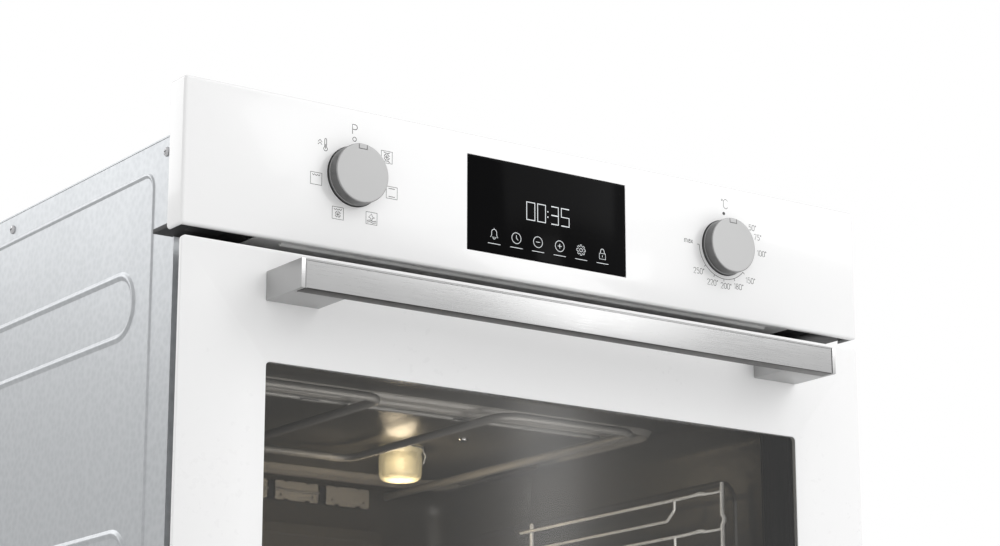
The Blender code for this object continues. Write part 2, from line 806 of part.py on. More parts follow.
def side_rack(side):
    """Welded wire ladder: two uprights and pairs of guide wires, with a stop near the front."""
    guide_x, upright_x = (side * x for x in RACK_X)
    front, rear = RACK_DEPTH
    foot, head = RACK_Z
    before, behind, stop_height, stop_run, lower_behind = 0.003, 0.012, 0.008, 0.010, 0.004
    uprights = [[(upright_x, depth, head), (upright_x, depth, foot)] for depth in RACK_DEPTH]
    upper, lower = [], []
    for level in range(RACK_LEVELS):
        z = RACK_TOP_LEVEL - RACK_PITCH * level
        upper.append([(guide_x, front - before, z), (guide_x, rear + behind, z)])
        stop = [(guide_x, RACK_STOP_DEPTH, z), (guide_x, RACK_STOP_DEPTH, z - stop_height)]
        run = [
            (guide_x, RACK_STOP_DEPTH + stop_run, z - RACK_DROP),
            (guide_x, rear + lower_behind, z - RACK_DROP),
        ]
        lower.append(stop + run)
    upright_radius, upper_radius, lower_radius = 0.0022, 0.0016, 0.0015
    base = as_mesh(tube(f"side_rack_{SIDE[side]}", uprights, upright_radius, "chrome", sides=1))
    rails = as_mesh(tube("rails", upper, upper_radius, None, sides=0, group=CUTTERS))
    stops = as_mesh(tube("stops", lower, lower_radius, None, sides=0, group=CUTTERS))
    return weld_on(weld_on(base, [rails]), [stops])


# Heaters, lamp and probe


def grill_element():
    """One tube from the rear wall to the front, back in the middle and out again."""
    left, right = GRILL_CENTRE - GRILL_OUTER, GRILL_CENTRE + GRILL_OUTER
    inner_left, inner_right = GRILL_CENTRE - GRILL_LEG, GRILL_CENTRE + GRILL_LEG
    corners = [
        (left, HEATER_END, GRILL_Z),
        (left, GRILL_FRONT, GRILL_Z),
        (inner_left, GRILL_FRONT, GRILL_Z),
        (inner_left, GRILL_BACK, GRILL_Z),
        (inner_right, GRILL_BACK, GRILL_Z),
        (inner_right, GRILL_FRONT, GRILL_Z),
        (right, GRILL_FRONT, GRILL_Z),
        (right, HEATER_END, GRILL_Z),
    ]
    return tube("grill_element", [bent_path(corners, 0.016, 4)], TUBE_RADIUS, "heater")


def grill_support():
    """Cross rod over the grill element, held to the cavity roof by two folded tabs."""
    z = GRILL_Z + TUBE_RADIUS + GRILL_ROD_RADIUS + 0.0005
    depth, reach = GRILL_ROD_DEPTH, GRILL_ROD_HALF
    ends = [(-reach, depth, z), (reach, depth, z)]
    rod = as_mesh(tube("grill_support", [ends], GRILL_ROD_RADIUS, "heater"))
    tab_width, tab_thick, overlap = 0.016, 0.002, 0.001
    tab_z = (z - overlap, CAVITY_Z[1] - GAP)
    tabs = [block_cutter(span(x, tab_width), span(depth, tab_thick), tab_z) for x in (-0.092, 0.045)]
    return weld_on(rod, tabs)


def ring_element():
    """Heater ring round the fan, with its two ends turned back through the rear wall."""
    start = math.asin(RING_END_X / RING_RADIUS)
    steps = 28
    sweep = 2 * math.pi - 2 * start
    angles = [start + sweep * step / steps for step in range(steps + 1)]
    ring = [(RING_RADIUS * math.sin(a), RING_DEPTH, FAN_Z + RING_RADIUS * math.cos(a)) for a in angles]
    path = [(RING_END_X, HEATER_END, RING_TOP), *ring, (-RING_END_X, HEATER_END, RING_TOP)]
    return tube("ring_element", [path], TUBE_RADIUS, "heater")


def bottom_element():
    """Heater loop under the cavity floor."""
    z, half, end_x = BOTTOM_HEATER_Z, BOTTOM_HEATER_HALF, BOTTOM_HEATER_END_X
    front, rear = BOTTOM_HEATER_DEPTH
    corners = [(-end_x, HEATER_END, z), (-end_x, rear, z), (-half, rear, z), (-half, front, z)]
    corners += [(half, front, z), (half, rear, z), (end_x, rear, z), (end_x, HEATER_END, z)]
    return tube("bottom_element", [bent_path(corners, 0.02)], TUBE_RADIUS, "heater", sides=1)


def lamp_holder():
    """Ceramic socket let into the roof. Heights count from the roof, up or down."""
    top, bottom, shoulder, edge = 0.0225, -0.0095, 0.0025, 0.003
    outer, neck = 0.0150, 0.0138
    profile = [
        (0, top),
        (outer - 0.0025, top),
        (outer, top - edge),
        (outer, shoulder),
        (neck, shoulder - 0.0005),
        (neck, bottom),
        (0, bottom),
    ]
    return turned("lamp_holder", profile, (LAMP_X, LAMP_DEPTH, CAVITY_Z[1]), "Z", "ceramic", 28)


def lamp_bulb():
    """Small capsule bulb under the socket."""
    top, low, radius, base = -0.0098, -0.0250, 0.0060, 0.0052
    profile = [(0, top), (base, top), (radius, top - 0.0022), (radius, low + 0.0040)]
    profile += [(radius - 0.0010, low + 0.0015), (0.0025, low + 0.0005), (0, low)]
    return turned("lamp_bulb", profile, (LAMP_X, LAMP_DEPTH, CAVITY_Z[1]), "Z", "lamp_glow", 20)


def lamp_cover():
    """Cylindrical glass cup hanging from the cavity roof, open at its top."""
    top, bottom, outer, wall = -GAP, -CUP_HEIGHT, CUP_RADIUS, CUP_WALL
    dish = 0.0004
    profile = [
        (outer - wall, top),
        (outer, top),
        (outer, bottom + 0.007),
        (outer - 0.0020, bottom + 0.0025),
        (outer - 0.0060, bottom + dish),
        (0, bottom),
        (0, bottom + wall),
        (outer - 0.0065, bottom + wall + dish),
        (outer - 0.0034, bottom + 0.0036),
        (outer - wall, bottom + 0.0076),
        (outer - wall, top),
    ]
    return turned("lamp_cover", profile, (LAMP_X, LAMP_DEPTH, CAVITY_Z[1]), "Z", "clear_glass", 24)


def thermostat_probe():
    """Capillary from the thermostat to a thicker bulb under the cavity roof."""
    z_bulb, z_top = PROBE_Z
    bulb_front, bulb_back = PROBE_BULB_DEPTH
    start, bend_radius, taper, thicker, radius = 0.0575, 0.008, 0.004, 2.4, 0.0011
    corners = [
        (PROBE_X, start, z_top),
        (PROBE_X, PROBE_DEPTH, z_top),
        (PROBE_X, PROBE_DEPTH, z_bulb),
        (PROBE_X, bulb_front, z_bulb),
    ]
    bend = bent_path(corners, bend_radius)
    neck = [Vector((PROBE_X, depth, z_bulb)) for depth in (bulb_back + taper, bulb_back)]
    path = [*bend[:-1], *neck, bend[-1]]
    radii = [1.0] * (len(path) - 2) + [thicker, thicker]
    return tube("thermostat_probe", [path], radius, "chrome", sides=1, radii=radii)


# Fans


def blade_ring(count, radius, size, tilt, axis_at, along):
    """Flat blades round an axis along X or Y, as helpers that don't touch each other."""
    blades = []
    for index in range(count):
        angle = 2 * math.pi * index / count
        builder = bmesh.new()
        bmesh.ops.create_cube(builder, size=1.0)
        bmesh.ops.scale(builder, vec=size, verts=builder.verts)
        turn = Matrix.Rotation(angle, 4, along)
        place = Matrix.Translation((axis_at[0], FRONT_Y + axis_at[1], axis_at[2]))
        lean = Matrix.Translation((0, 0, radius)) @ Matrix.Rotation(tilt, 4, along)
        builder.transform(place @ turn @ lean)
        blades.append(register("blade", mesh_from(builder, "blade"), None, CUTTERS))
    return blades


def convection_fan():
    """Radial fan: a disc, a hub with its shaft, and eight blades in front of the disc."""
    disc, shaft_end, shaft_radius = 0.0012, -0.0285, 0.005
    hub_front, hub_edge = 0.0185, 0.002
    profile = [
        (0, hub_front),
        (0.006, hub_front),
        (0.008, hub_front - hub_edge),
        (0.009, disc),
        (FAN_RADIUS, disc),
        (FAN_RADIUS, 0),
        (shaft_radius, 0),
        (shaft_radius, shaft_end),
        (0, shaft_end),
    ]
    fan = turned("convection_fan", profile, (0, FAN_DEPTH, FAN_Z), "Y", "galvanised", 24)
    size, tilt, centre = (0.0010, 0.0150, 0.040), 0.5, (0, FAN_BLADE_DEPTH, FAN_Z)
    return weld_on(fan, blade_ring(8, FAN_BLADE_CENTRE, size, tilt, centre, "Y"))


def convection_motor():
    """Motor behind the rear wall. Heights run forward from its back face."""
    case, boss, front = FAN_MOTOR_RADIUS, 0.011, 0.041
    profile = [
        (0, front),
        (boss + 0.001, front),
        (boss + 0.003, front - 0.005),
        (case - 0.002, front - 0.007),
        (case, front - 0.010),
        (case, 0.006),
        (case - 0.004, 0.003),
        (boss, 0.002),
        (boss, 0),
        (0, 0),
    ]
    return turned("convection_motor", profile, (0, FAN_MOTOR_BACK, FAN_Z), "Y", "galvanised", 28)


def air_duct():
    """Flat duct over the cavity, from the blower to the vent slot, open at both ends."""
    duct = block("air_duct", (-DUCT_HALF, DUCT_HALF), DUCT_DEPTH, DUCT_Z, "galvanised")
    half = DUCT_HALF - DUCT_WALL
    through = (DUCT_DEPTH[0] - THROUGH, DUCT_DEPTH[1] + THROUGH)
    inside = block_cutter((-half, half), through, (DUCT_Z[0] + DUCT_WALL, DUCT_Z[1] - DUCT_WALL))
    return cut(duct, [inside])


def cooling_fan_housing():
    """Scroll sheet over the cross-flow rotor, open towards the duct."""
    steps, wall, end_room = 12, 0.001, 0.004
    start, sweep = math.radians(200), math.radians(-290)
    angles = [start + sweep * step / steps for step in range(steps + 1)]
    profile = [
        (BLOWER_DEPTH + BLOWER_SCROLL * math.cos(a), BLOWER_Z + BLOWER_SCROLL * math.sin(a))
        for a in angles
    ]
    length = 2 * (BLOWER_HALF + end_room)
    return folded_sheet("cooling_fan_housing", profile, length, "galvanised", wall)


def cooling_fan_rotor():
    """Cross-flow rotor: two end discs, twelve long vanes and a shaft stub."""
    centre = (0, BLOWER_DEPTH, BLOWER_Z)
    shaft_radius, shaft_length, shaft_shift, disc_thick = 0.004, 0.1975, 0.0047, 0.002
    vane_size, tilt = (2 * BLOWER_HALF - disc_thick, 0.0008, 0.008), 0.6
    vanes = blade_ring(12, BLOWER_RADIUS - 0.0045, vane_size, tilt, centre, "X")
    rotor = cylinder("cooling_fan_rotor", centre, shaft_radius, shaft_length, "X", "aluminium", 12)
    rotor.location.x = shaft_shift
    discs = [
        drill((side * (BLOWER_HALF - disc_thick / 2), *centre[1:]), BLOWER_RADIUS, "X", disc_thick / 2)
        for side in SIDE
    ]
    return weld_on(weld_on(rotor, discs), vanes)


def cooling_fan_motor():
    radius, length, edge = 0.022, 0.044, 0.002
    centre = (BLOWER_MOTOR_X, BLOWER_DEPTH, BLOWER_Z)
    motor = cylinder("cooling_fan_motor", centre, radius, length, "X", "galvanised", 24)
    return round_edges(motor, edge, 1)


# Casing


def upright_sheet(name, profile, side, z, finish, thickness):
    """A folded upright, its (x, depth) profile mirrored for the left side."""
    profile = [(side * x, depth) for x, depth in profile]
    length = z[1] - z[0]
    return folded_sheet(name, profile, length, finish, thickness * side, "Z", sum(z) / 2)


def side_casing(side):
    """Flat side sheet with a short return at the rear."""
    outer, inner = CARCASS_HALF - SHEET, CARCASS_HALF - 0.012
    front, rear = SIDE_CASING_DEPTH
    profile = [(inner, rear), (outer, rear), (outer, front)]
    return upright_sheet(f"side_casing_{SIDE[side]}", profile, side, SIDE_CASING_Z, "galvanised", -SHEET)


def mounting_flange(side):
    """L-shaped upright that bears on the cabinet's front edge, with two screw holes."""
    web, reach = FLANGE_X
    front, rear = FLANGE_DEPTH
    profile = [(reach, front), (web, front), (web, rear)]
    flange = upright_sheet(f"mounting_flange_{SIDE[side]}", profile, side, FLANGE_Z, "enamel", SHEET)
    holes = [
        drill((side * FLANGE_HOLE_X, front + 0.0005, z), FLANGE_HOLE_RADIUS, "Y", THROUGH / 2, steps=12)
        for z in FLANGE_HOLES_Z
    ]
    return cut(flange, holes)


def top_cover():
    """Lid with two rows of cooling slots."""
    depth = (FRONT_Y + BRACKET_DEPTH[1] + 2 * GAP, FRONT_Y + CARCASS_REAR)
    corner, slot_width, slot_length, pitch = 0.003, 0.012, 0.050, 0.048
    outline = rounded_rectangle(2 * CARCASS_HALF, depth[1] - depth[0], corner, (0, sum(depth) / 2), 1)
    slots = [
        rounded_rectangle(slot_width, slot_length, corner, (place * pitch, FRONT_Y + row), 1)
        for row in (0.420, 0.490)
        for place in range(-2, 3)
    ]
    cover = plate("top_cover", [outline, *slots], SHEET, "XY", "galvanised")
    cover.location.z = CARCASS_TOP - SHEET / 2
    return cover


def base_tray():
    """Floor sheet with a lip along each side."""
    half, sink = TRAY_HALF, 0.0006
    sheet = block("base_tray", (-half, half), TRAY_DEPTH, (0, SHEET), "galvanised")
    lips = [block_cutter((x, x + SHEET), TRAY_DEPTH, (sink, TRAY_LIP)) for x in (-half, half - SHEET)]
    return weld_on(sheet, lips)


def rear_cover():
    """Back sheet with two groups of louvre slots."""
    corner, slot_width, slot_height, slot_corner = 0.003, 0.090, 0.006, 0.002
    slot_x, slot_z, pitch, rows = 0.130, 0.330, 0.022, 5
    height = REAR_COVER_Z[1] - REAR_COVER_Z[0]
    outline = rounded_rectangle(2 * CARCASS_HALF, height, corner, (0, sum(REAR_COVER_Z) / 2), 1)
    slots = [
        rounded_rectangle(slot_width, slot_height, slot_corner, (side * slot_x, slot_z + pitch * row), 1)
        for side in SIDE
        for row in range(rows)
    ]
    cover = plate("rear_cover", [outline, *slots], SHEET, "XZ", "galvanised")
    cover.location.y = FRONT_Y + CARCASS_REAR - SHEET / 2 - 0.0002
    return cover


def terminal_box():
    """Mains connection box on the back, with an open cable entry underneath."""
    depth = (CARCASS_REAR + GAP, BOX_BACK)
    box = block("terminal_box", BOX_X, depth, BOX_Z, "black_plastic", bevel=0.002)
    entry_x, entry_depth, entry_radius = 0.180, 0.5755, 0.0055
    entry = drill((entry_x, entry_depth, BOX_Z[0]), entry_radius, "Z", reach=0.015, steps=20)
    return cut(box, [entry])


# Door


def door_outer_glass():
    """White pane that makes the whole face of the door, with two screw holes for the handle."""
    corner, clearance = 0.003, 0.0004
    height = DOOR_TOP - DOOR_BOTTOM
    outline = rounded_rectangle(DOOR_WIDTH, height, corner, (0, DOOR_BOTTOM + height / 2))
    hole = HANDLE_SCREW_RADIUS + clearance
    holes = [circle(hole, (side * HANDLE_SCREW_X, HANDLE_MIDDLE_Z), 14) for side in SIDE]
    glass = plate("door_outer_glass", [outline, *holes], OUTER_GLASS, "XZ", "white_gloss")
    glass.location.y = FRONT_Y + OUTER_GLASS / 2
    return glass


def inner_pane(name, half, depth, z):
    return block(name, (-half, half), depth, z, "tinted_glass", bevel=SOFT_EDGE / 2)


def door_side_profile(side):
    x = sorted((side * DOOR_SIDE_INNER, side * DOOR_FRAME_HALF))
    name = f"door_side_{SIDE[side]}"
    return block(name, x, DOOR_FRAME_DEPTH, DOOR_SIDE_Z, "aluminium", bevel=SOFT_EDGE)


def door_top_profile():
    """Top rail with a row of vents and room behind the handle screws."""
    half, z = DOOR_FRAME_HALF, DOOR_TOP_RAIL_Z
    rail = block("door_top_rail", (-half, half), DOOR_FRAME_DEPTH, z, "aluminium", bevel=SOFT_EDGE)
    vent_width, pitch, vent_depth, below, above = 0.024, 0.05, (0.0100, 0.0310), 0.0038, 0.0068
    vents = [
        block_cutter(span(place * pitch, vent_width), vent_depth, (z[0] - below, z[1] + above))
        for place in range(-3, 4)
    ]
    head_depth, head_room, room_reach = 0.009, 0.0065, 0.006
    screw_room = [
        drill((side * HANDLE_SCREW_X, head_depth, HANDLE_MIDDLE_Z), head_room, "Y", reach=room_reach)
        for side in SIDE
    ]
    return cut(rail, [*vents, *screw_room])


def door_bottom_profile():
    x = (-DOOR_BOTTOM_RAIL_HALF, DOOR_BOTTOM_RAIL_HALF)
    return block("door_bottom_rail", x, DOOR_FRAME_DEPTH, DOOR_BOTTOM_RAIL_Z, "aluminium", bevel=SOFT_EDGE)


def hinge_body(side):
    """Channel in the door's lower corner that turns on the hinge arm's pin."""
    near, far = HINGE_CHANNEL_X
    web, back = HINGE_CHANNEL_DEPTH
    wall, clearance = 0.0015, 0.0001
    profile = [(near, back), (near, web), (far, web), (far, back)]
    name = f"hinge_body_{SIDE[side]}"
    channel = upright_sheet(name, profile, side, HINGE_CHANNEL_Z, "galvanised", wall)
    pivot = (side * HINGE_X, HINGE_DEPTH, HINGE_Z)
    hole = drill(pivot, HINGE_PIN_RADIUS + clearance, "X", reach=0.015)
    return cut(channel, [hole])


def hinge_arm(side):
    """Flat arm fixed in the carcass, round at the pivot, with the pin pressed through it."""
    steps, thickness, pin_reach = 10, 0.004, 0.00625
    spread = math.asin(HINGE_ARM_HALF / HINGE_ARM_RADIUS)
    angles = [spread + (2 * math.pi - 2 * spread) * step / steps for step in range(steps + 1)]
    y, back = FRONT_Y + HINGE_DEPTH, FRONT_Y + HINGE_ARM_BACK
    outline = [
        (y + HINGE_ARM_RADIUS * math.cos(a), HINGE_Z + HINGE_ARM_RADIUS * math.sin(a)) for a in angles
    ]
    outline += [(back, HINGE_Z - HINGE_ARM_HALF), (back, HINGE_Z + HINGE_ARM_HALF)]
    arm = plate(f"hinge_arm_{SIDE[side]}", [outline], thickness, "YZ", "galvanised")
    arm.location.x = side * HINGE_X
    pin = drill((side * HINGE_X, HINGE_DEPTH, HINGE_Z), HINGE_PIN_RADIUS, "X", reach=pin_reach)
    return weld_on(as_mesh(arm), [pin])


def handle_bar():
    half = HANDLE_HALF - HANDLE_CAP - GAP
    depth = (HANDLE_FRONT, HANDLE_FRONT + HANDLE_THICK)
    return block("handle_bar", (-half, half), depth, HANDLE_Z, "brushed_steel", bevel=0.0012, segments=2)


def handle_bracket(side):
    """Foot behind the bar's end, with a cap that covers the end of the bar."""
    outer, cap = HANDLE_HALF, HANDLE_HALF - HANDLE_CAP
    inner = HANDLE_HALF - HANDLE_FOOT
    bar_back, glass = HANDLE_FRONT + HANDLE_THICK + GAP, -GAP
    outline = [(outer, HANDLE_FRONT), (outer, glass), (inner, glass), (inner, bar_back)]
    outline += [(cap, bar_back), (cap, HANDLE_FRONT)]
    outline = [(side * x, FRONT_Y + depth) for x, depth in outline]
    height = HANDLE_Z[1] - HANDLE_Z[0]
    foot = as_mesh(plate(f"handle_bracket_{SIDE[side]}", [outline], height, "XY", "brushed_steel"))
    foot.location.z = HANDLE_MIDDLE_Z
    round_edges(foot, 0.0006, 1)
    screw_end, clearance, bore_reach = -0.006, 0.0003, 0.008
    middle = (side * HANDLE_SCREW_X, screw_end, HANDLE_MIDDLE_Z)
    hole = drill(middle, HANDLE_SCREW_RADIUS + clearance, "Y", reach=bore_reach, steps=14)
    return cut(foot, [hole])


def handle_screw(side):
    """Screw through the outer pane into the handle's foot. Heights run out of the front."""
    shank, head, tip, seat, back = HANDLE_SCREW_RADIUS, 0.0048, 0.0125, -0.0043, -0.0078
    profile = [
        (0, tip),
        (shank - 0.0005, tip),
        (shank, tip - 0.0007),
        (shank, seat),
        (head, seat),
        (head, back + 0.0013),
        (head - 0.0018, back),
        (0, back),
    ]
    centre = (side * HANDLE_SCREW_X, 0, HANDLE_MIDDLE_Z)
    return turned(f"handle_screw_{SIDE[side]}", profile, centre, "Y", "galvanised", 14)


def build_root():
    control_panel_fascia()
    display_glass()
    display_module()
    panel_bracket()
    function_switch()
    thermostat_body()
    vent_deflector()
    cavity_liner()
    front_frame()
    door_gasket()
    insulation_wrap()
    fan_baffle()
    rear_vent_strip()
    grill_element()
    grill_support()
    ring_element()
    bottom_element()
    lamp_holder()
    lamp_bulb()
    lamp_cover()
    thermostat_probe()
    convection_motor()
    air_duct()
    cooling_fan_housing()
    cooling_fan_motor()
    top_cover()
    base_tray()
    rear_cover()
    terminal_box()
    for side in SIDE:
        vent_trim(side)
        side_rack(side)
        side_casing(side)
        mounting_flange(side)
        hinge_arm(side)


def build_door():
    door_outer_glass()
    inner_pane("door_middle_glass", MIDDLE_GLASS_HALF, MIDDLE_GLASS_DEPTH, MIDDLE_GLASS_Z)
    inner_pane("door_inner_glass", INNER_GLASS_HALF, INNER_GLASS_DEPTH, INNER_GLASS_Z)
    door_top_profile()
    door_bottom_profile()
    handle_bar()
    for side in SIDE:
        door_side_profile(side)
        hinge_body(side)
        handle_bracket(side)
        handle_screw(side)


def build_moving():
    control_shaft("function_shaft", -KNOB_X)
    knob("function_knob", -KNOB_X)
    control_shaft("thermostat_shaft", KNOB_X)
    knob("thermostat_knob", KNOB_X)
    convection_fan()
    cooling_fan_rotor()


clear_scene()
PARTS = collection("wall_oven")
CUTTERS = collection("cutters", hidden=True)
build_root()
build_door()
build_moving()
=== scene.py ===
import math

import bmesh
import bpy
from mathutils import Matrix, Vector, noise


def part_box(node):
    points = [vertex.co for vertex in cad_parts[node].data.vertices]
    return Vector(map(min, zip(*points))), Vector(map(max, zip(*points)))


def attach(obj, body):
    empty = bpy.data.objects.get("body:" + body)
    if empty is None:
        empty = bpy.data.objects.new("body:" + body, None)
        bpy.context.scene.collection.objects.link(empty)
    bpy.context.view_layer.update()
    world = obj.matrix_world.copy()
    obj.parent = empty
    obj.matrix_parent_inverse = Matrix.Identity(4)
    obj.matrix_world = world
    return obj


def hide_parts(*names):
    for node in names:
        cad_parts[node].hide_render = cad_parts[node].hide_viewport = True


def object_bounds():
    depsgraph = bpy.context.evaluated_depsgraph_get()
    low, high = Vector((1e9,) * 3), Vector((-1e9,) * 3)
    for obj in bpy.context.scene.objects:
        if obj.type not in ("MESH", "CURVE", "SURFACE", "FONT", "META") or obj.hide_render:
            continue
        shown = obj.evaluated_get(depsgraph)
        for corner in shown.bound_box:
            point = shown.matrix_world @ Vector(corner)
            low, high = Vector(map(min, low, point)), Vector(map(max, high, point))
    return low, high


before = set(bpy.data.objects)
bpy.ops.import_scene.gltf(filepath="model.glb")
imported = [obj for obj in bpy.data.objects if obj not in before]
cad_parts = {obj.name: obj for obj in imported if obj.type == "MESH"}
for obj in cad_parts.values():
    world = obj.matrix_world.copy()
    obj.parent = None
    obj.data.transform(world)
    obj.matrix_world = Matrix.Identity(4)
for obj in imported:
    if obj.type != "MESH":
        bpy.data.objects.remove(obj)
CAD_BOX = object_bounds()


def middle_of(node):
    low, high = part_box(node)
    return (low + high) / 2


def face_centre(node):
    """The middle of a node as seen from the front."""
    middle = middle_of(node)
    return middle.x, middle.z


# Places that come from the frame
PANEL_LOW, PANEL_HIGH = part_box("control_panel_fascia")
DISPLAY_LOW, DISPLAY_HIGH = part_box("display_glass")
PANE_LOW, PANE_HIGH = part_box("door_outer_glass")
LINER_LOW, LINER_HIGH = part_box("cavity_liner")
KNOB_LOW, KNOB_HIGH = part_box("function_knob")
LAMP = middle_of("lamp_cover")
FAN_Z = middle_of("convection_fan").z
FRONT = PANEL_LOW.y
MOUTH = LINER_LOW.y
KNOBS = ("function_knob", "thermostat_knob")
SIDES = {-1: "left", 1: "right"}

# Camera, lights and floor
CAMERA_PLACE = (-1.0857, -1.7851, 0.0288)
CAMERA_HEADING = math.radians(35.09)
CAMERA_PITCH = math.radians(14.43)
CAMERA_LENS = 95.2
WORLD_GLOW = 0.84
LAMP_POWER = 0.80
FRONT_LAMP_POWER = 0.10
FILL_POWER = 1.3

# Knobs
KNOB_HOLE = 0.0216
KNOB_OUT = FRONT - KNOB_LOW.y
KNOB_BACK = FRONT - KNOB_HIGH.y
KNOB_RADIUS = (KNOB_HIGH.x - KNOB_LOW.x) / 2

# Door window, as borders of white print inside the outer pane
WINDOW_SIDE = 0.0655
WINDOW_TOP = 0.0771
WINDOW_BOTTOM = 0.0950
WINDOW_CORNER = 0.0030
WINDOW_GAP = 0.0002
HANDLE_SCREW_X = 0.212

# Cavity
LINER_WALL = 0.0012
LINER_CORNER = 0.025
ROOF = LINER_HIGH.z - LINER_WALL
REAR = LINER_HIGH.y - LINER_WALL
CAVITY_SIDE = LINER_HIGH.x - LINER_WALL
HEATER_RADIUS = 0.0033
RING_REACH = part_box("ring_element")[1].x - HEATER_RADIUS
RING_END_X = 0.020
RING_END_Z = FAN_Z + math.sqrt(RING_REACH ** 2 - RING_END_X ** 2)
PROBE_X = 0.200
PROBE_RADIUS = 0.0011
PROBE_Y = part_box("thermostat_probe")[1].y - PROBE_RADIUS

# Directions, and the flat drawing planes with their axes
UP, DOWN, FORWARD, BACK = (0, 0, 1), (0, 0, -1), (0, -1, 0), (0, 1, 0)
QUARTER = math.pi / 2
TURNS = {
    "X": Matrix.Rotation(QUARTER, 4, "Y"),
    "Y": Matrix.Rotation(QUARTER, 4, "X"),
    "Z": Matrix.Identity(4),
}
PLANES = {"XZ": TURNS["Y"], "XY": TURNS["Z"], "YZ": Matrix.Rotation(QUARTER, 4, "Z") @ TURNS["Y"]}
NORMALS = {"XZ": Vector(BACK), "XY": Vector(UP), "YZ": Vector((1, 0, 0))}
AXES = {"XZ": (0, 2), "XY": (0, 1), "YZ": (1, 2)}


def depth(value):
    """Y of a depth counted back from the panel's front face."""
    return FRONT + value


# Materials

FINISHES = {}


def feed(made, socket, value):
    """Links another node's output to a socket, or sets a constant there."""
    if isinstance(value, bpy.types.NodeSocket):
        made.node_tree.links.new(value, socket)
    else:
        socket.default_value = value


def add(made, kind, **values):
    """A shader node whose inputs are given by name, with _ for a space."""
    node = made.node_tree.nodes.new(kind)
    for name, value in values.items():
        feed(made, node.inputs[name.replace("_", " ")], value)
    return node


def noise_of(made, **values):
    return add(made, "ShaderNodeTexNoise", **values).outputs["Fac"]


def colour_mix(made, share, first, second):
    mix = add(made, "ShaderNodeMix")
    mix.data_type = "RGBA"
    for socket, value in ((0, share), (6, first), (7, second)):
        feed(made, mix.inputs[socket], value)
    return mix.outputs[2]


def textured(name, slot, colour, roughness, metallic=0.0, vary=0.04, rough_vary=0.05, grain=600.0,
             stretch=(1, 1, 1), bump=0.05, bump_size=0.0002, tint=None, **sockets):
    """A Principled material whose colour, roughness and bump follow noise in object space."""
    made = bpy.data.materials.new(name)
    made.use_nodes = True
    space = add(made, "ShaderNodeTexCoord").outputs["Object"]
    stretched = add(made, "ShaderNodeMapping", Vector=space, Scale=stretch).outputs["Vector"]
    fine = noise_of(made, Vector=stretched, Scale=grain, Detail=3.0, Roughness=0.6)
    broad = noise_of(made, Vector=space, Scale=7.0, Detail=4.0, Roughness=0.55)
    share = add(made, "ShaderNodeMix", Factor=0.5, A=broad, B=fine).outputs["Result"]
    dark = [channel * (1 - vary) for channel in colour]
    light = tint or [min(1.0, channel * (1 + vary)) for channel in colour]
    rough = add(made, "ShaderNodeMapRange", Value=share, From_Min=0.3, From_Max=0.7,
                To_Min=max(0.02, roughness - rough_vary), To_Max=min(1.0, roughness + rough_vary))
    relief = add(made, "ShaderNodeBump", Strength=bump, Distance=bump_size, Height=fine)
    sockets["Base_Color"] = colour_mix(made, share, (*dark, 1), (*light, 1))
    sockets["Metallic"] = metallic
    sockets["Roughness"] = rough.outputs["Result"]
    sockets["Normal"] = relief.outputs["Normal"]
    shader = made.node_tree.nodes["Principled BSDF"]
    for socket, value in sockets.items():
        feed(made, shader.inputs[socket.replace("_", " ")], value)
    FINISHES[name] = (made, slot)


def cells(name, colour, low, high, scale, lift=0.0):
    """Mixes a second colour into a finish where the distance in a cell texture lies between two levels."""
    made = FINISHES[name][0]
    shader = made.node_tree.nodes["Principled BSDF"]
    space = add(made, "ShaderNodeTexCoord").outputs["Object"]
    distance = add(made, "ShaderNodeTexVoronoi", Vector=space, Scale=scale).outputs["Distance"]
    level = add(made, "ShaderNodeMapRange", Value=distance, From_Min=low, From_Max=high).outputs["Result"]
    under = shader.inputs["Base Color"].links[0].from_socket
    feed(made, shader.inputs["Base Color"], colour_mix(made, level, under, (*colour, 1)))
    if lift:
        relief = add(made, "ShaderNodeBump", Strength=lift, Distance=0.0006, Height=level,
                     Normal=shader.inputs["Normal"].links[0].from_socket)
        feed(made, shader.inputs["Normal"], relief.outputs["Normal"])


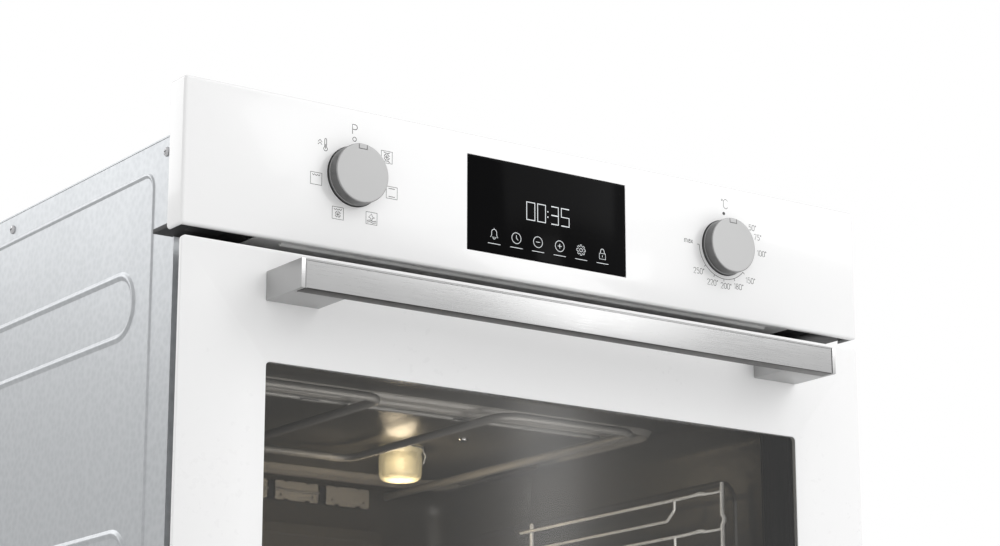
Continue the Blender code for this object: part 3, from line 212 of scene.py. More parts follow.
def make_finishes():
    textured("white_paint", "white_panel", (0.90, 0.90, 0.90), 0.16, vary=0.006, grain=240, bump=0.03,
             Coat_Weight=0.25)
    textured("white_print", "white_enamel_glass", (0.90, 0.90, 0.90), 0.30, vary=0.006, grain=150,
             bump=0.015, Specular_IOR_Level=0.3)
    textured("black_display", "black_glass", (0.0035, 0.0035, 0.0038), 0.10, vary=0.2, grain=300,
             rough_vary=0.03, bump=0.01, Specular_IOR_Level=0.5, IOR=1.10)
    textured("display_light", "white_panel", (0.55, 0.57, 0.58), 0.5, vary=0.05, grain=900,
             Emission_Color=(0.80, 0.84, 0.86, 1), Emission_Strength=0.38)
    # Black ink for the printed dial marks, also laid in the knob notch as painted shade.
    textured("dial_ink_and_notch_shade", "black_plastic", (0.035, 0.035, 0.035), 0.55, vary=0.1, grain=2500, bump=0.1)
    textured("window_tint", "tinted_glass", (0.012, 0.012, 0.011), 0.16, vary=0.1, rough_vary=0.02,
             grain=20, bump=0.002, Alpha=0.34, Specular_IOR_Level=0.85)
    textured("pane_tint", "tinted_glass", (0.020, 0.021, 0.020), 0.05, vary=0.1, rough_vary=0.02,
             grain=20, bump=0.002, Alpha=0.08)
    textured("black_print", "black_glass", (0.008, 0.008, 0.008), 0.25, vary=0.2, grain=900, bump=0.02)
    textured("knob_face", "knob_metal", (0.36, 0.36, 0.36), 0.38, 0.75, vary=0.03, grain=1800, bump=0.04)
    textured("knob_side", "knob_metal", (0.17, 0.17, 0.17), 0.32, 0.9, vary=0.06, grain=1500,
             stretch=(1, 12, 1))
    brushed = {"stretch": (0.02, 1, 1), "grain": 2600, "bump": 0.16, "bump_size": 0.00006}
    textured("brushed_front", "brushed_steel", (0.50, 0.50, 0.50), 0.30, 0.95, vary=0.07, rough_vary=0.08,
             **brushed)
    textured("brushed_cap", "brushed_steel", (0.47, 0.47, 0.47), 0.40, 0.85, vary=0.03, grain=2200,
             bump=0.06)
    # Dark copy of the brushed steel for the handle bar's underside and back: painted shade.
    textured("shadow_side", "brushed_steel", (0.065, 0.063, 0.06), 0.40, 0.7, vary=0.08, **brushed)
    textured("galvanised", "galvanised_steel", (0.43, 0.445, 0.46), 0.36, 0.95, vary=0.05, grain=900)
    cells("galvanised", (0.47, 0.485, 0.50), 0.25, 0.75, 210.0, lift=0.015)
    textured("deflector", "deflector_steel", (0.96, 0.96, 0.95), 0.42, 0.05, grain=900, stretch=(0.05, 1, 1))
    textured("matt_black", "black_plastic", (0.018, 0.018, 0.019), 0.55, vary=0.15, grain=1600, bump=0.25)
    textured("rail_alloy", "door_frame_paint", (0.62, 0.62, 0.63), 0.34, 0.9, vary=0.05, grain=1500,
             stretch=(0.03, 1, 1), bump=0.08)
    textured("enamel", "cavity_enamel", (0.056, 0.054, 0.050), 0.33, vary=0.06, rough_vary=0.02, grain=160,
             bump=0.006, Coat_Weight=0.08, Coat_Roughness=0.26)
    # Lighter copy of the cavity enamel for the roof ridges: painted highlight standing for the glints on
    # their slopes.
    textured("enamel_painted_highlight", "cavity_enamel", (0.26, 0.25, 0.235), 0.26, vary=0.06, rough_vary=0.02,
             grain=160, bump=0.012, Coat_Weight=1.0, Coat_Roughness=0.16)
    textured("enamel_light", "cavity_enamel", (0.29, 0.28, 0.26), 0.35, vary=0.15, grain=420, bump=0.07)
    textured("heater", "heater_tube", (0.27, 0.265, 0.26), 0.42, 0.35, vary=0.10, grain=800, bump=0.12,
             tint=(0.33, 0.32, 0.30))
    textured("dark_steel", "heater_tube", (0.30, 0.295, 0.285), 0.40, 0.25, vary=0.12, grain=900, bump=0.1)
    textured("chrome", "rack_chrome", (0.99, 0.985, 0.96), 0.24, 0.25, vary=0.03, grain=700, bump=0.02)
    textured("copper", "probe_copper", (0.66, 0.62, 0.57), 0.22, 1.0, vary=0.06, grain=900, bump=0.04)
    textured("cup_glass", "lamp_glass", (0.50, 0.46, 0.33), 0.08, vary=0.03, grain=300, bump=0.03,
             Alpha=0.50, Specular_IOR_Level=0.9, Emission_Color=(1.0, 0.84, 0.50, 1), Emission_Strength=0.62)
    textured("lamp_glow", "lamp_glow", (0.95, 0.84, 0.56), 0.35, vary=0.05, grain=200,
             tint=(1.0, 0.93, 0.70), Emission_Color=(1.0, 0.84, 0.50, 1), Emission_Strength=1.25)
    textured("ceramic", "lamp_ceramic", (0.80, 0.78, 0.72), 0.60, vary=0.05, grain=1400, bump=0.2)
    textured("wool", "glass_wool", (0.66, 0.60, 0.38), 0.95, vary=0.30, grain=900, stretch=(1, 0.12, 1),
             bump=0.9, bump_size=0.0012, Sheen_Weight=0.4)
    textured("braid", "seal_rubber", (0.055, 0.054, 0.052), 0.80, vary=0.20, grain=1400, bump=0.4,
             bump_size=0.0004)
    cells("braid", (0.11, 0.11, 0.105), 0.1, 0.5, 700.0, lift=0.3)
    textured("board", "circuit_board", (0.02, 0.13, 0.05), 0.42, vary=0.25, grain=260, bump=0.2)
    cells("board", (0.40, 0.36, 0.14), 0.12, 0.06, 210.0)
    textured("motor", "motor_steel", (0.46, 0.47, 0.48), 0.38, 0.9, vary=0.08, grain=1000,
             stretch=(1, 0.1, 1), bump=0.10)
    textured("alloy", "fan_aluminium", (0.66, 0.66, 0.68), 0.36, 0.95, vary=0.06, grain=900, bump=0.08)
    textured("screw", "screw_steel", (0.55, 0.55, 0.56), 0.30, 1.0, vary=0.06, grain=2500, bump=0.08)


# Finishes of the CAD nodes that stay visible

NODE_FINISHES = {
    "galvanised": "side_casing_left side_casing_right top_cover rear_cover base_tray air_duct"
                  " mounting_flange_left mounting_flange_right cooling_fan_housing"
                  " hinge_arm_left hinge_arm_right hinge_body_left hinge_body_right",
    "motor": "convection_motor cooling_fan_motor function_shaft thermostat_shaft",
    "alloy": "convection_fan cooling_fan_rotor",
    "screw": "handle_screw_left handle_screw_right",
}


def finish_nodes():
    for finish, names in NODE_FINISHES.items():
        for name in names.split():
            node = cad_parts[name]
            if not node.material_slots:
                node.data.materials.append(FINISHES[finish][0])
            for slot in node.material_slots:
                slot.material = FINISHES[finish][0]


# Mesh helpers


def mesh_of(builder):
    data = bpy.data.meshes.new("mesh")
    builder.to_mesh(data)
    builder.free()
    return data


def builder_of(*meshes):
    builder = bmesh.new()
    for data in meshes:
        builder.from_mesh(data)
        bpy.data.meshes.remove(data)
    return builder


def joined(*meshes):
    return mesh_of(builder_of(*meshes))


def cleaned(builder):
    """The builder's mesh with doubled vertices merged and its faces turned outward."""
    bmesh.ops.remove_doubles(builder, verts=builder.verts, dist=1e-6)
    bmesh.ops.recalc_face_normals(builder, faces=builder.faces)
    return mesh_of(builder)


def link(name, data):
    obj = bpy.data.objects.new(name, data)
    bpy.context.scene.collection.objects.link(obj)
    return obj


def evaluated_mesh(obj):
    """The object's mesh with its modifiers or curve settings applied, in world space."""
    bpy.context.view_layer.update()
    graph = bpy.context.evaluated_depsgraph_get()
    data = bpy.data.meshes.new_from_object(obj.evaluated_get(graph))
    data.transform(obj.matrix_world)
    bpy.data.objects.remove(obj)
    return data


def piece(name, meshes, finish, node=None, body="carcass", also=None, sharp=35):
    """One visible piece on a body, which may stand for a node. A second finish goes where its test says."""
    data = joined(*meshes) if isinstance(meshes, list) else meshes
    second, test = also or (finish, lambda normal, centre: False)
    data.materials.clear()
    for used in [finish, second] if also else [finish]:
        data.materials.append(FINISHES[used][0])
    for polygon in data.polygons:
        polygon.material_index = int(test(polygon.normal, polygon.center))
    data.shade_smooth()
    data.set_sharp_from_angle(angle=math.radians(sharp))
    obj = link(name, data)
    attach(obj, body)
    if node:
        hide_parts(node)
    return obj


def block(low, high):
    """A cube's builder, stretched between two corners."""
    low, high = Vector(low), Vector(high)
    builder = bmesh.new()
    bmesh.ops.create_cube(builder, size=1.0)
    bmesh.ops.scale(builder, vec=high - low, verts=builder.verts)
    bmesh.ops.translate(builder, vec=(low + high) / 2, verts=builder.verts)
    return builder


def soften(builder, edges, offset, segments):
    bmesh.ops.bevel(builder, geom=edges, offset=offset, segments=segments, affect="EDGES", profile=0.5)


def box(low, high, bevel=0.0, segments=2):
    """A block between two corners with rounded edges."""
    builder = block(low, high)
    if bevel:
        soften(builder, builder.edges[:], bevel, segments)
    return mesh_of(builder)


def slab(x, half, depths, heights, bevel=0.0, segments=2):
    """A block centred on one x, between two places in y and two in z."""
    return box((x - half, depths[0], heights[0]), (x + half, depths[1], heights[1]), bevel, segments)


def open_shell(low, high, side, corner, segments, thickness):
    """A box of one wall thickness with rounded edges, open at its front (-1) or its back (1)."""
    builder = block(low, high)
    gone = [face for face in builder.faces if face.normal.y * side > 0.9]
    rims = [edge for edge in builder.edges if not any(face in gone for face in edge.link_faces)]
    bmesh.ops.delete(builder, geom=gone, context="FACES")
    soften(builder, rims, corner, segments)
    shell = link("shell", mesh_of(builder))
    wall = shell.modifiers.new("Wall", "SOLIDIFY")
    wall.thickness = thickness
    wall.offset = -1.0
    wall.use_even_offset = True
    return evaluated_mesh(shell)


def turned(profile, centre, axis="Y", steps=48):
    """Turns (radius, height) points about an axis. Heights run out of the front for Y, and up for Z."""
    builder = bmesh.new()
    verts = [builder.verts.new((radius, 0, height)) for radius, height in profile]
    edges = [builder.edges.new(pair) for pair in zip(verts, verts[1:])]
    bmesh.ops.spin(builder, geom=verts + edges, cent=(0, 0, 0), axis=UP, angle=2 * math.pi,
                   steps=steps, use_merge=True)
    data = cleaned(builder)
    data.transform(Matrix.Translation(centre) @ TURNS[axis])
    return data


def rod(centre, radius, length, axis="Y", steps=32):
    """A plain cylinder, for holes."""
    builder = bmesh.new()
    bmesh.ops.create_cone(builder, cap_ends=True, segments=steps, radius1=radius, radius2=radius,
                          depth=length)
    builder.transform(Matrix.Translation(centre) @ TURNS[axis])
    return mesh_of(builder)


def carve(data, *cutters):
    """A mesh with others cut out of it."""
    target = link("target", data)
    tool = link("tool", joined(*cutters))
    boolean = target.modifiers.new("Cut", "BOOLEAN")
    boolean.operation = "DIFFERENCE"
    boolean.object = tool
    result = evaluated_mesh(target)
    bpy.data.objects.remove(tool)
    return result


def carve_in_turn(data, *cutters):
    """A mesh with others cut out of it one by one, for cutters that overlap."""
    for cutter in cutters:
        data = carve(data, cutter)
    return data


def rounded(low, high, radius, steps=6):
    """Counter-clockwise outline of a rounded rectangle between two corners."""
    middle = ((low[0] + high[0]) / 2, (low[1] + high[1]) / 2)
    reach = ((high[0] - low[0]) / 2 - radius, (high[1] - low[1]) / 2 - radius)
    points = []
    for corner, (sx, sy) in enumerate(((1, 1), (-1, 1), (-1, -1), (1, -1))):
        for step in range(steps + 1):
            angle = QUARTER * (corner + step / steps)
            x = middle[0] + sx * reach[0] + radius * math.cos(angle)
            y = middle[1] + sy * reach[1] + radius * math.sin(angle)
            points.append((x, y))
    return points


def panel(x, half, low, high, radius, steps=6):
    """Rounded outline centred on one x, between two heights."""
    return rounded((x - half, low), (x + half, high), radius, steps)


def inset(node, radius, margin=0.0, plane="XZ", steps=6):
    """Rounded outline of a node's box on a plane, drawn in by one margin or by one for each axis."""
    low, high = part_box(node)
    a, b = AXES[plane]
    x, y = margin if isinstance(margin, tuple) else (margin, margin)
    return rounded((low[a] + x, low[b] + y), (high[a] - x, high[b] - y), radius, steps)


def ring(centre, radius, steps=32):
    turns = [2 * math.pi * step / steps for step in range(steps)]
    return [(centre[0] + radius * math.cos(a), centre[1] + radius * math.sin(a)) for a in turns]


def add_line(data, points, closed, radii=None):
    """One more polyline in a curve."""
    spline = data.splines.new("POLY")
    spline.points.add(len(points) - 1)
    spline.use_cyclic_u = closed
    for index, (point, place) in enumerate(zip(spline.points, points)):
        point.co = (*place, 1)
        point.radius = radii[index] if radii else 1.0


def plate(outlines, plane, low, high, edge=0.0):
    """A flat sheet between two levels with rounded edges: its rim first, then its holes."""
    data = bpy.data.curves.new("plate", "CURVE")
    data.dimensions = "2D"
    data.fill_mode = "BOTH"
    data.extrude = (high - low) / 2 - edge
    data.bevel_depth = edge
    data.bevel_resolution = 1
    data.offset = -edge
    for outline in outlines:
        add_line(data, [(x, y, 0) for x, y in outline], True)
    obj = link("plate", data)
    obj.matrix_world = Matrix.Translation(NORMALS[plane] * (low + high) / 2) @ PLANES[plane]
    return cleaned(builder_of(evaluated_mesh(obj)))


def cover(node, corner, edge, *holes):
    """A sheet that fills a node's box, with rounded corners and edges."""
    low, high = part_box(node)
    return plate([inset(node, corner), *holes], "XZ", low.y, high.y, edge)


def bend(points, radius, steps=6):
    """A polyline whose corners are arcs."""
    path = [Vector(points[0])]
    for before, corner, after in zip(points, points[1:], points[2:]):
        corner = Vector(corner)
        into = (Vector(before) - corner).normalized()
        out = (Vector(after) - corner).normalized()
        half = into.angle(out) / 2
        reach = radius / math.tan(half)
        centre = corner + (into + out).normalized() * (radius / math.sin(half))
        start, end = corner + into * reach - centre, corner + out * reach - centre
        for step in range(steps + 1):
            path.append(centre + start.slerp(end, step / steps).normalized() * radius)
    path.append(Vector(points[-1]))
    return path


def wire(points, radius, closed=False, detail=3, radii=None):
    """Round wire along points."""
    data = bpy.data.curves.new("wire", "CURVE")
    data.dimensions = "3D"
    data.bevel_depth = radius
    data.bevel_resolution = detail
    data.use_fill_caps = not closed
    add_line(data, points, closed, radii)
    builder = builder_of(evaluated_mesh(link("wire", data)))
    bmesh.ops.remove_doubles(builder, verts=builder.verts, dist=1e-6)
    return mesh_of(builder)


def swell(width, height, sunk):
    """Cross-section of a smooth stamped ridge, as (across, height) points."""
    turns = [step / 8 for step in range(9)]
    return [(width * (t - 0.5), height * (0.5 - 0.5 * math.cos(2 * math.pi * t)) - sunk) for t in turns]


def ridge(path, normal, profile, closed):
    """A stamped ridge swept along a path that lies on a surface with one normal."""
    normal = Vector(normal)
    builder = bmesh.new()
    rows = []
    count = len(path)
    for index, point in enumerate(path):
        before = path[index - 1] if closed or index else point
        after = path[(index + 1) % count] if closed or index < count - 1 else point
        across = (after - before).cross(normal).normalized()
        rows.append([builder.verts.new(point + across * a + normal * h) for a, h in profile])
    pairs = list(zip(rows, rows[1:]))
    if closed:
        pairs.append((rows[-1], rows[0]))
    for first, second in pairs:
        for index in range(len(profile) - 1):
            builder.faces.new((first[index], first[index + 1], second[index + 1], second[index]))
    if not closed:
        builder.faces.new(rows[0])
        builder.faces.new(list(reversed(rows[-1])))
    bmesh.ops.recalc_face_normals(builder, faces=builder.faces)
    return mesh_of(builder)


def pressed(outline, plane, level, side, width, height, sunk=0.0001):
    """A stamped ridge round an outline, on a flat face that looks along its normal (1) or against it (-1)."""
    place = Matrix.Translation(NORMALS[plane] * level) @ PLANES[plane]
    path = [place @ Vector((x, y, 0)) for x, y in outline]
    return ridge(path, NORMALS[plane] * side, swell(width, height, sunk), True)


def rib(start, end, normal, width, height, sunk=0.0001):
    """A straight stamped ridge with closed ends."""
    return ridge([Vector(start), Vector(end)], normal, swell(width, height, sunk), False)


def screw_head(centre, normal, radius):
    """A pan-head screw with a cross recess, standing on a surface."""
    height = radius * 0.55
    dome = [(0, 1), (0.55, 0.94), (0.85, 0.66), (1, 0.2)]
    profile = [(radius * across, height * up) for across, up in dome] + [(radius, -0.0002), (0, -0.0002)]
    arm, width = radius * 0.5, radius * 0.14
    cross = [box((-x, -y, height * 0.45), (x, y, height * 2)) for x, y in ((arm, width), (width, arm))]
    head = carve_in_turn(turned(profile, (0, 0, 0), "Z", 20), *cross)
    turn = Vector(UP).rotation_difference(Vector(normal)).to_matrix().to_4x4()
    head.transform(Matrix.Translation(centre) @ turn)
    return head


def screws(name, places, normal, radius=0.0034):
    piece(name, [screw_head(place, normal, radius) for place in places], "screw")


def ends(node, side):
    """A node's outer and inner x on one side of the oven."""
    low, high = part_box(node)
    return (high.x, low.x) if side > 0 else (low.x, high.x)


# Control panel


def fascia():
    """White pressed panel: rounded front edges, knob holes and the display opening."""
    gap, rim = 0.0003, 0.0023
    opening = box((DISPLAY_LOW.x - gap, FRONT - 0.01, DISPLAY_LOW.z - gap),
                  (DISPLAY_HIGH.x + gap, FRONT + 0.01, DISPLAY_HIGH.z + gap))
    underside = box((PANEL_LOW.x + rim, depth(0.004), PANEL_LOW.z - 0.01),
                    (PANEL_HIGH.x - rim, depth(0.03), PANEL_LOW.z + 0.0026))
    holes = [rod((x, FRONT, z), KNOB_HOLE, 0.02, steps=72) for x, z in map(face_centre, KNOBS)]
    data = carve(open_shell(PANEL_LOW, PANEL_HIGH, 1, 0.0022, 5, 0.002), opening, underside, *holes)
    piece("panel_fascia", data, "white_paint", "control_panel_fascia", sharp=30)


def knob(node):
    """Satin knob with a flat face, a small chamfer, a groove near the panel and a notch at its top."""
    x, z = face_centre(node)
    chamfer, wall, groove, sunk = 0.0007, 0.0016, 0.0026, 0.0005
    hub, bore = 0.0062, 0.0034
    profile = [(0, KNOB_OUT), (KNOB_RADIUS - chamfer * 1.3, KNOB_OUT)]
    for angle in [QUARTER * step / 4 for step in range(5)]:
        across, along = chamfer * (1 - math.sin(angle)), chamfer * (1 - math.cos(angle))
        profile.append((KNOB_RADIUS - across, KNOB_OUT - along))
    profile += [
        (KNOB_RADIUS, groove + 0.0003),
        (KNOB_RADIUS - sunk, groove),
        (KNOB_RADIUS - sunk, groove - 0.0004),
        (KNOB_RADIUS, groove - 0.0007),
        (KNOB_RADIUS, KNOB_BACK),
        (KNOB_RADIUS - wall, KNOB_BACK),
        (KNOB_RADIUS - wall, KNOB_OUT - wall),
        (hub, KNOB_OUT - wall),
        (hub - 0.0004, KNOB_BACK + 0.004),
        (bore, KNOB_BACK + 0.004),
        (bore, KNOB_OUT - 0.0025),
        (0, KNOB_OUT - 0.0025),
    ]
    data = turned(profile, (x, FRONT, z), "Y", 96)
    half, line, front = 0.0035, 0.0005, FRONT - KNOB_OUT
    foot, top = z + KNOB_RADIUS - 0.0040, z + KNOB_RADIUS + 0.001
    spans = [(-half, line - half, top), (half - line, half, top), (-half, half, foot + line)]
    data = carve_in_turn(data, *[box((x + left, front - 0.002, foot), (x + right, front + 0.0007, high))
                                 for left, right, high in spans])
    # Dark ink laid in the U-shaped groove round the notch: painted shade of the notch's walls.
    inner, low = (half - line / 2) * 1000, (foot - z + line / 2) * 1000
    rise = math.sqrt(((KNOB_RADIUS - 0.0010) * 1000) ** 2 - inner ** 2)
    notch_shade_path = [(-inner, rise), (-inner, low), (inner, low), (inner, rise)]
    fill = strokes([notch_shade_path], (x, z), front + 0.0002, line * 1000)
    rear = front + chamfer * 0.9
    wrap = ("knob_side", lambda normal, centre: abs(normal.y) < 0.5 and centre.y > rear)
    piece(f"{node}_cap", data, "knob_face", node, node, wrap, sharp=28)
    piece(f"{node}_notch_painted_shade", fill, "dial_ink_and_notch_shade", body=node)


# Printed marks, drawn as fine raised strokes. Glyphs are polylines in a box one unit high.


def polar(radius, degrees):
    return radius * math.cos(math.radians(degrees)), radius * math.sin(math.radians(degrees))


def arc(x, y, radius, start, end, steps=8, tall=None):
    """Points between two angles in degrees. An oval one has an upright radius of its own."""
    angles = [math.radians(start + (end - start) * step / steps) for step in range(steps + 1)]
    return [(x + radius * math.cos(a), y + (tall or radius) * math.sin(a)) for a in angles]


def looped(points):
    return [*points, points[0]]


def circle(x, y, radius, steps=8, tall=None):
    return looped(arc(x, y, radius, 0, 360, steps, tall))


def rectangle(left, low, right, high):
    return looped([(left, low), (right, low), (right, high), (left, high)])


BOWL = 0.26
GLYPHS = {
    "0": [looped(arc(BOWL, 1 - BOWL, BOWL, 0, 180) + arc(BOWL, BOWL, BOWL, 180, 360))],
    "1": [[(0.06, 0.80), (0.30, 1.0), (0.30, 0.0)]],
    "2": [arc(BOWL, 1 - BOWL, BOWL, 170, -35) + [(0.0, 0.0), (0.52, 0.0)]],
    "5": [[(0.48, 1.0), (0.06, 1.0), (0.04, 0.56)] + arc(BOWL, 0.33, BOWL, 125, -140, tall=0.33)],
    "7": [[(0.0, 1.0), (0.52, 1.0), (0.18, 0.0)]],
    "8": [circle(BOWL, 0.76, 0.22, tall=0.24), circle(BOWL, BOWL, BOWL)],
    "C": [arc(0.3, 0.7, 0.3, 25, 180) + arc(0.3, 0.3, 0.3, 180, 335)],
    "P": [[(0.0, 0.0), (0.0, 1.0)] + arc(0.32, 0.74, 0.26, 90, -90) + [(0.0, 0.48)]],
    "m": [[(0.0, 0.0), (0.0, 0.62)], arc(0.16, 0.44, 0.16, 180, 0, tall=0.18) + [(0.32, 0.0)],
          arc(0.48, 0.44, 0.16, 180, 0, tall=0.18) + [(0.64, 0.0)]],
    "a": [circle(0.22, 0.21, 0.21), [(0.43, 0.0), (0.43, 0.45)] + arc(0.22, 0.45, 0.21, 0, 140, tall=0.17)],
    "x": [[(0.0, 0.0), (0.40, 0.62)], [(0.0, 0.62), (0.40, 0.0)]],
    "°": [circle(0.09, 0.90, 0.09)],
}
ADVANCES = {"m": 0.84, "a": 0.60, "1": 0.52, "°": 0.30}


def placed(paths, centre, size=1.0):
    """Paths scaled and moved in the plane of the front, in millimetres."""
    return [[(centre[0] + x * size, centre[1] + y * size) for x, y in path] for path in paths]


def word(text, centre, height):
    """A line of glyphs whose middle is at a point."""
    advances = [ADVANCES.get(letter, 0.72) for letter in text]
    x = centre[0] - (sum(advances) - 0.20) * height / 2
    paths = []
    for letter, advance in zip(text, advances):
        paths += placed(GLYPHS[letter], (x, centre[1] - height / 2), height)
        x += advance * height
    return paths


def strokes(paths, origin, front, width):
    """Flattened fine cords along paths given in millimetres from an origin on the front."""
    meshes = []
    for path in paths:
        closed = path[0] == path[-1]
        line = [(origin[0] + x / 1000, 0, origin[1] + z / 1000) for x, z in (path[:-1] if closed else path)]
        meshes.append(wire(line, width / 2000, closed, detail=1))
    data = joined(*meshes)
    proud = 0.00007
    for vertex in data.vertices:
        vertex.co.y = front + vertex.co.y * proud / (width / 2000)
    return data


def fan_icon(size, centre=(0, 0)):
    """Four curved blades round a hub."""
    blades = [[(0, 0), *arc(0, 0, 1, turn + 20, turn + 75, 4), (0, 0)] for turn in range(0, 360, 90)]
    return placed(blades, centre, size)


def function_marks():
    """Generic symbols round the left knob: heat above and below, fan, grill, cleaning, fast warm-up."""
    square = rectangle(-4.5, -4.3, 4.5, 4.3)
    heats = [[(-2.6, z), (2.6, z)] for z in (2.9, -2.9)]
    grill = [(-3.0, 3.1), (-2.2, 2.1), (-1.2, 3.0), (0, 2.1), (1.2, 3.0), (2.2, 2.1), (3.0, 3.1)]
    curved = [arc(0, 5.2, 3.6, 225, 315, 5, 2.4), arc(0, -5.2, 3.6, 135, 45, 5, 2.4)]
    water = [[(-3.8, z), (-1.2, z + 0.7), (1.2, z - 0.1), (3.8, z + 0.6)] for z in (-3.2, -2.0)]
    spark = looped([(0, 3.2), (0.7, 1.2), (2.6, 0.6), (0.7, 0.0), (0, -2.0), (-0.7, 0.0), (-2.4, 0.6)])
    bulb = arc(1.9, -2.7, 1.5, 120, 420, 10) + [(2.65, 3.8)]
    bulb += arc(1.9, 3.8, 0.75, 0, 180, 6, 0.9) + [(1.15, -1.4)]
    rising = [[(-4.2, z), (-2.6, z + 1.7), (-1.0, z)] for z in (-0.3, 1.6)]
    marks = [
        ((26.5, 18.7), [square, *curved, *fan_icon(2.2)]),
        ((30.9, -6.4), [square, *heats]),
        ((14.6, -27.4), [square, *water, spark]),
        ((-12.6, -28.0), [square, grill, *fan_icon(2.1, (0, -0.9))]),
        ((-30.3, -6.3), [square, grill]),
        ((-25.1, 18.7), [bulb, [(1.9, -2.7), (1.9, 0.6)], *rising]),
    ]
    paths = word("P", (0, 34.1), 6.8) + [circle(0, 27, 1.5, 14)]
    for centre, shapes in marks:
        paths += placed(shapes, centre)
    piece("function_dial_marks", strokes(paths, face_centre("function_knob"), FRONT, 0.52), "dial_ink_and_notch_shade")


TEMPERATURES = {
    "50°": (28.4, 20.3), "75°": (33.4, 13.4), "100°": (37.0, 1.2), "150°": (25.1, -21.9),
    "180°": (13.2, -28.3), "200°": (1.0, -29.5), "220°": (-12.2, -28.5), "250°": (-25.3, -21.5),
    "max": (-34.3, 1.1),
}


def thermostat_marks():
    """Temperatures round the right knob, with a scale arc from 150 to max."""
    paths = []
    for text, centre in TEMPERATURES.items():
        paths += word(text, centre, 4.3)
    paths += word("°C", (1.0, 34.9), 7.2)
    paths += [circle(0.4, 27.2, radius, 10) for radius in (0.3, 0.7, 1.1)]
    scale = 24.3
    paths.append(arc(0, 0, scale, 182, 318, 60))
    paths += [[polar(scale, angle), polar(scale + 2.0, angle)] for angle in (182, 221, 246, 268, 292, 318)]
    piece("thermostat_dial_marks", strokes(paths, face_centre("thermostat_knob"), FRONT, 0.46), "dial_ink_and_notch_shade")


def clock_digit(text, left, width):
    """Straight strokes of a display digit."""
    low, height = -5.2, 13.1
    right, high, middle = left + width, low + height, low + height / 2
    return {
        "0": [rectangle(left, low, right, high)],
        "3": [[(left, high), (right, high), (right, low), (left, low)], [(left, middle), (right, middle)]],
        "5": [[(right, high), (left, high), (left, middle), (right, middle), (right, low), (left, low)]],
    }[text]


def display_marks():
    """Clock digits and six touch symbols: bell, clock, minus, plus, gear and padlock."""
    digits = []
    for text, left, width in (("0", -18.9, 7.2), ("0", -9.2, 7.0), ("3", 3.0, 6.3), ("5", 12.0, 7.0)):
        digits += clock_digit(text, left, width)
    digits += [circle(-0.1, z, 0.2, 6) for z in (-0.6, 3.4)]
    round_key = circle(0, 0, 4.0, 24)
    bell = [
        looped([(-3.3, -2.3), (-2.2, -1.0), (-2.2, 1.3), *arc(0, 1.3, 2.2, 180, 0), (2.2, -1.0),
                (3.3, -2.3)]),
        arc(0, -2.5, 1.1, 180, 360, 5, 1.2),
        [(0, 3.5), (0, 4.2)],
    ]
    hands = [(0, 2.2), (0, 0), (1.5, -1.3)]
    minus, upright = [(-1.7, 0), (1.7, 0)], [(0, -1.7), (0, 1.7)]
    tooth = ((-14, 2.9), (-9, 4.0), (9, 4.0), (14, 2.9))
    rim = [polar(radius, turn + offset) for turn in range(0, 360, 45) for offset, radius in tooth]
    lock = [
        rectangle(-2.8, -3.9, 2.8, 0.4),
        [(-1.7, 0.4), (-1.7, 2.0)] + arc(0, 2.0, 1.7, 180, 0, 6, 1.8) + [(1.7, 0.4)],
        [(0, -2.4), (0, -1.0)],
    ]
    symbols = {
        -47.4: bell, -28.0: [round_key, hands], -9.0: [round_key, minus], 10.4: [round_key, minus, upright],
        29.6: [looped(rim), circle(0, 0, 1.3, 12)], 49.1: lock,
    }
    fine = []
    for x, shapes in symbols.items():
        fine += placed(shapes, (x, -20.7))
        fine.append([(x - 5.4, -27.8), (x + 5.4, -27.8)])
    origin = (0, middle_of("display_glass").z)
    data = [strokes(digits, origin, FRONT, 0.95), strokes(fine, origin, FRONT, 0.47)]
    piece("display_digits_and_symbols", data, "display_light")


# Vent slot under the panel


def vent_slot():
    """Bent metal deflector with a long bead, between two matt black end pieces."""
    low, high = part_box("vent_deflector")
    base, wall = low.z + 0.0018, 0.0010
    walls = [(low.y, high.y, base + wall), (low.y, low.y + wall, base + 0.0025),
             (high.y - wall, high.y, high.z)]
    data = [box((low.x, front, base), (high.x, back, top), 0.0003, 1) for front, back, top in walls]
    bead, y = 0.2145, depth(0.0143)
    data.append(rib((-bead, y, base), (bead, y, base), DOWN, 0.0050, base - low.z, 0.0))
    piece("vent_deflector_plate", data, "deflector", "vent_deflector")
    for side, hand in SIDES.items():
        node = f"vent_trim_{hand}"
        low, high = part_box(node)
        outer, inner = ends(node, side)
        slant, front, back = side * 0.020, low.y, high.y
        outline = [(outer, front), (inner + slant, front), (inner, front + 0.0157), (inner, back),
                   (outer, back)]
        trim = plate([outline[::-side]], "XY", low.z + 0.0006, high.z, 0.0005)
        left, right = sorted((outer - side * 0.012, inner + slant * 1.1))
        hump = box((left, low.y + 0.003, low.z), (right, low.y + 0.018, low.z + 0.0010), 0.0004)
        piece(f"vent_end_{hand}", [trim, hump], "matt_black", node)


# Door


def window_outline(margin=0.0):
    low = (PANE_LOW.x + WINDOW_SIDE + margin, PANE_LOW.z + WINDOW_BOTTOM + margin)
    high = (PANE_HIGH.x - WINDOW_SIDE - margin, PANE_HIGH.z - WINDOW_TOP - margin)
    return rounded(low, high, WINDOW_CORNER - margin)


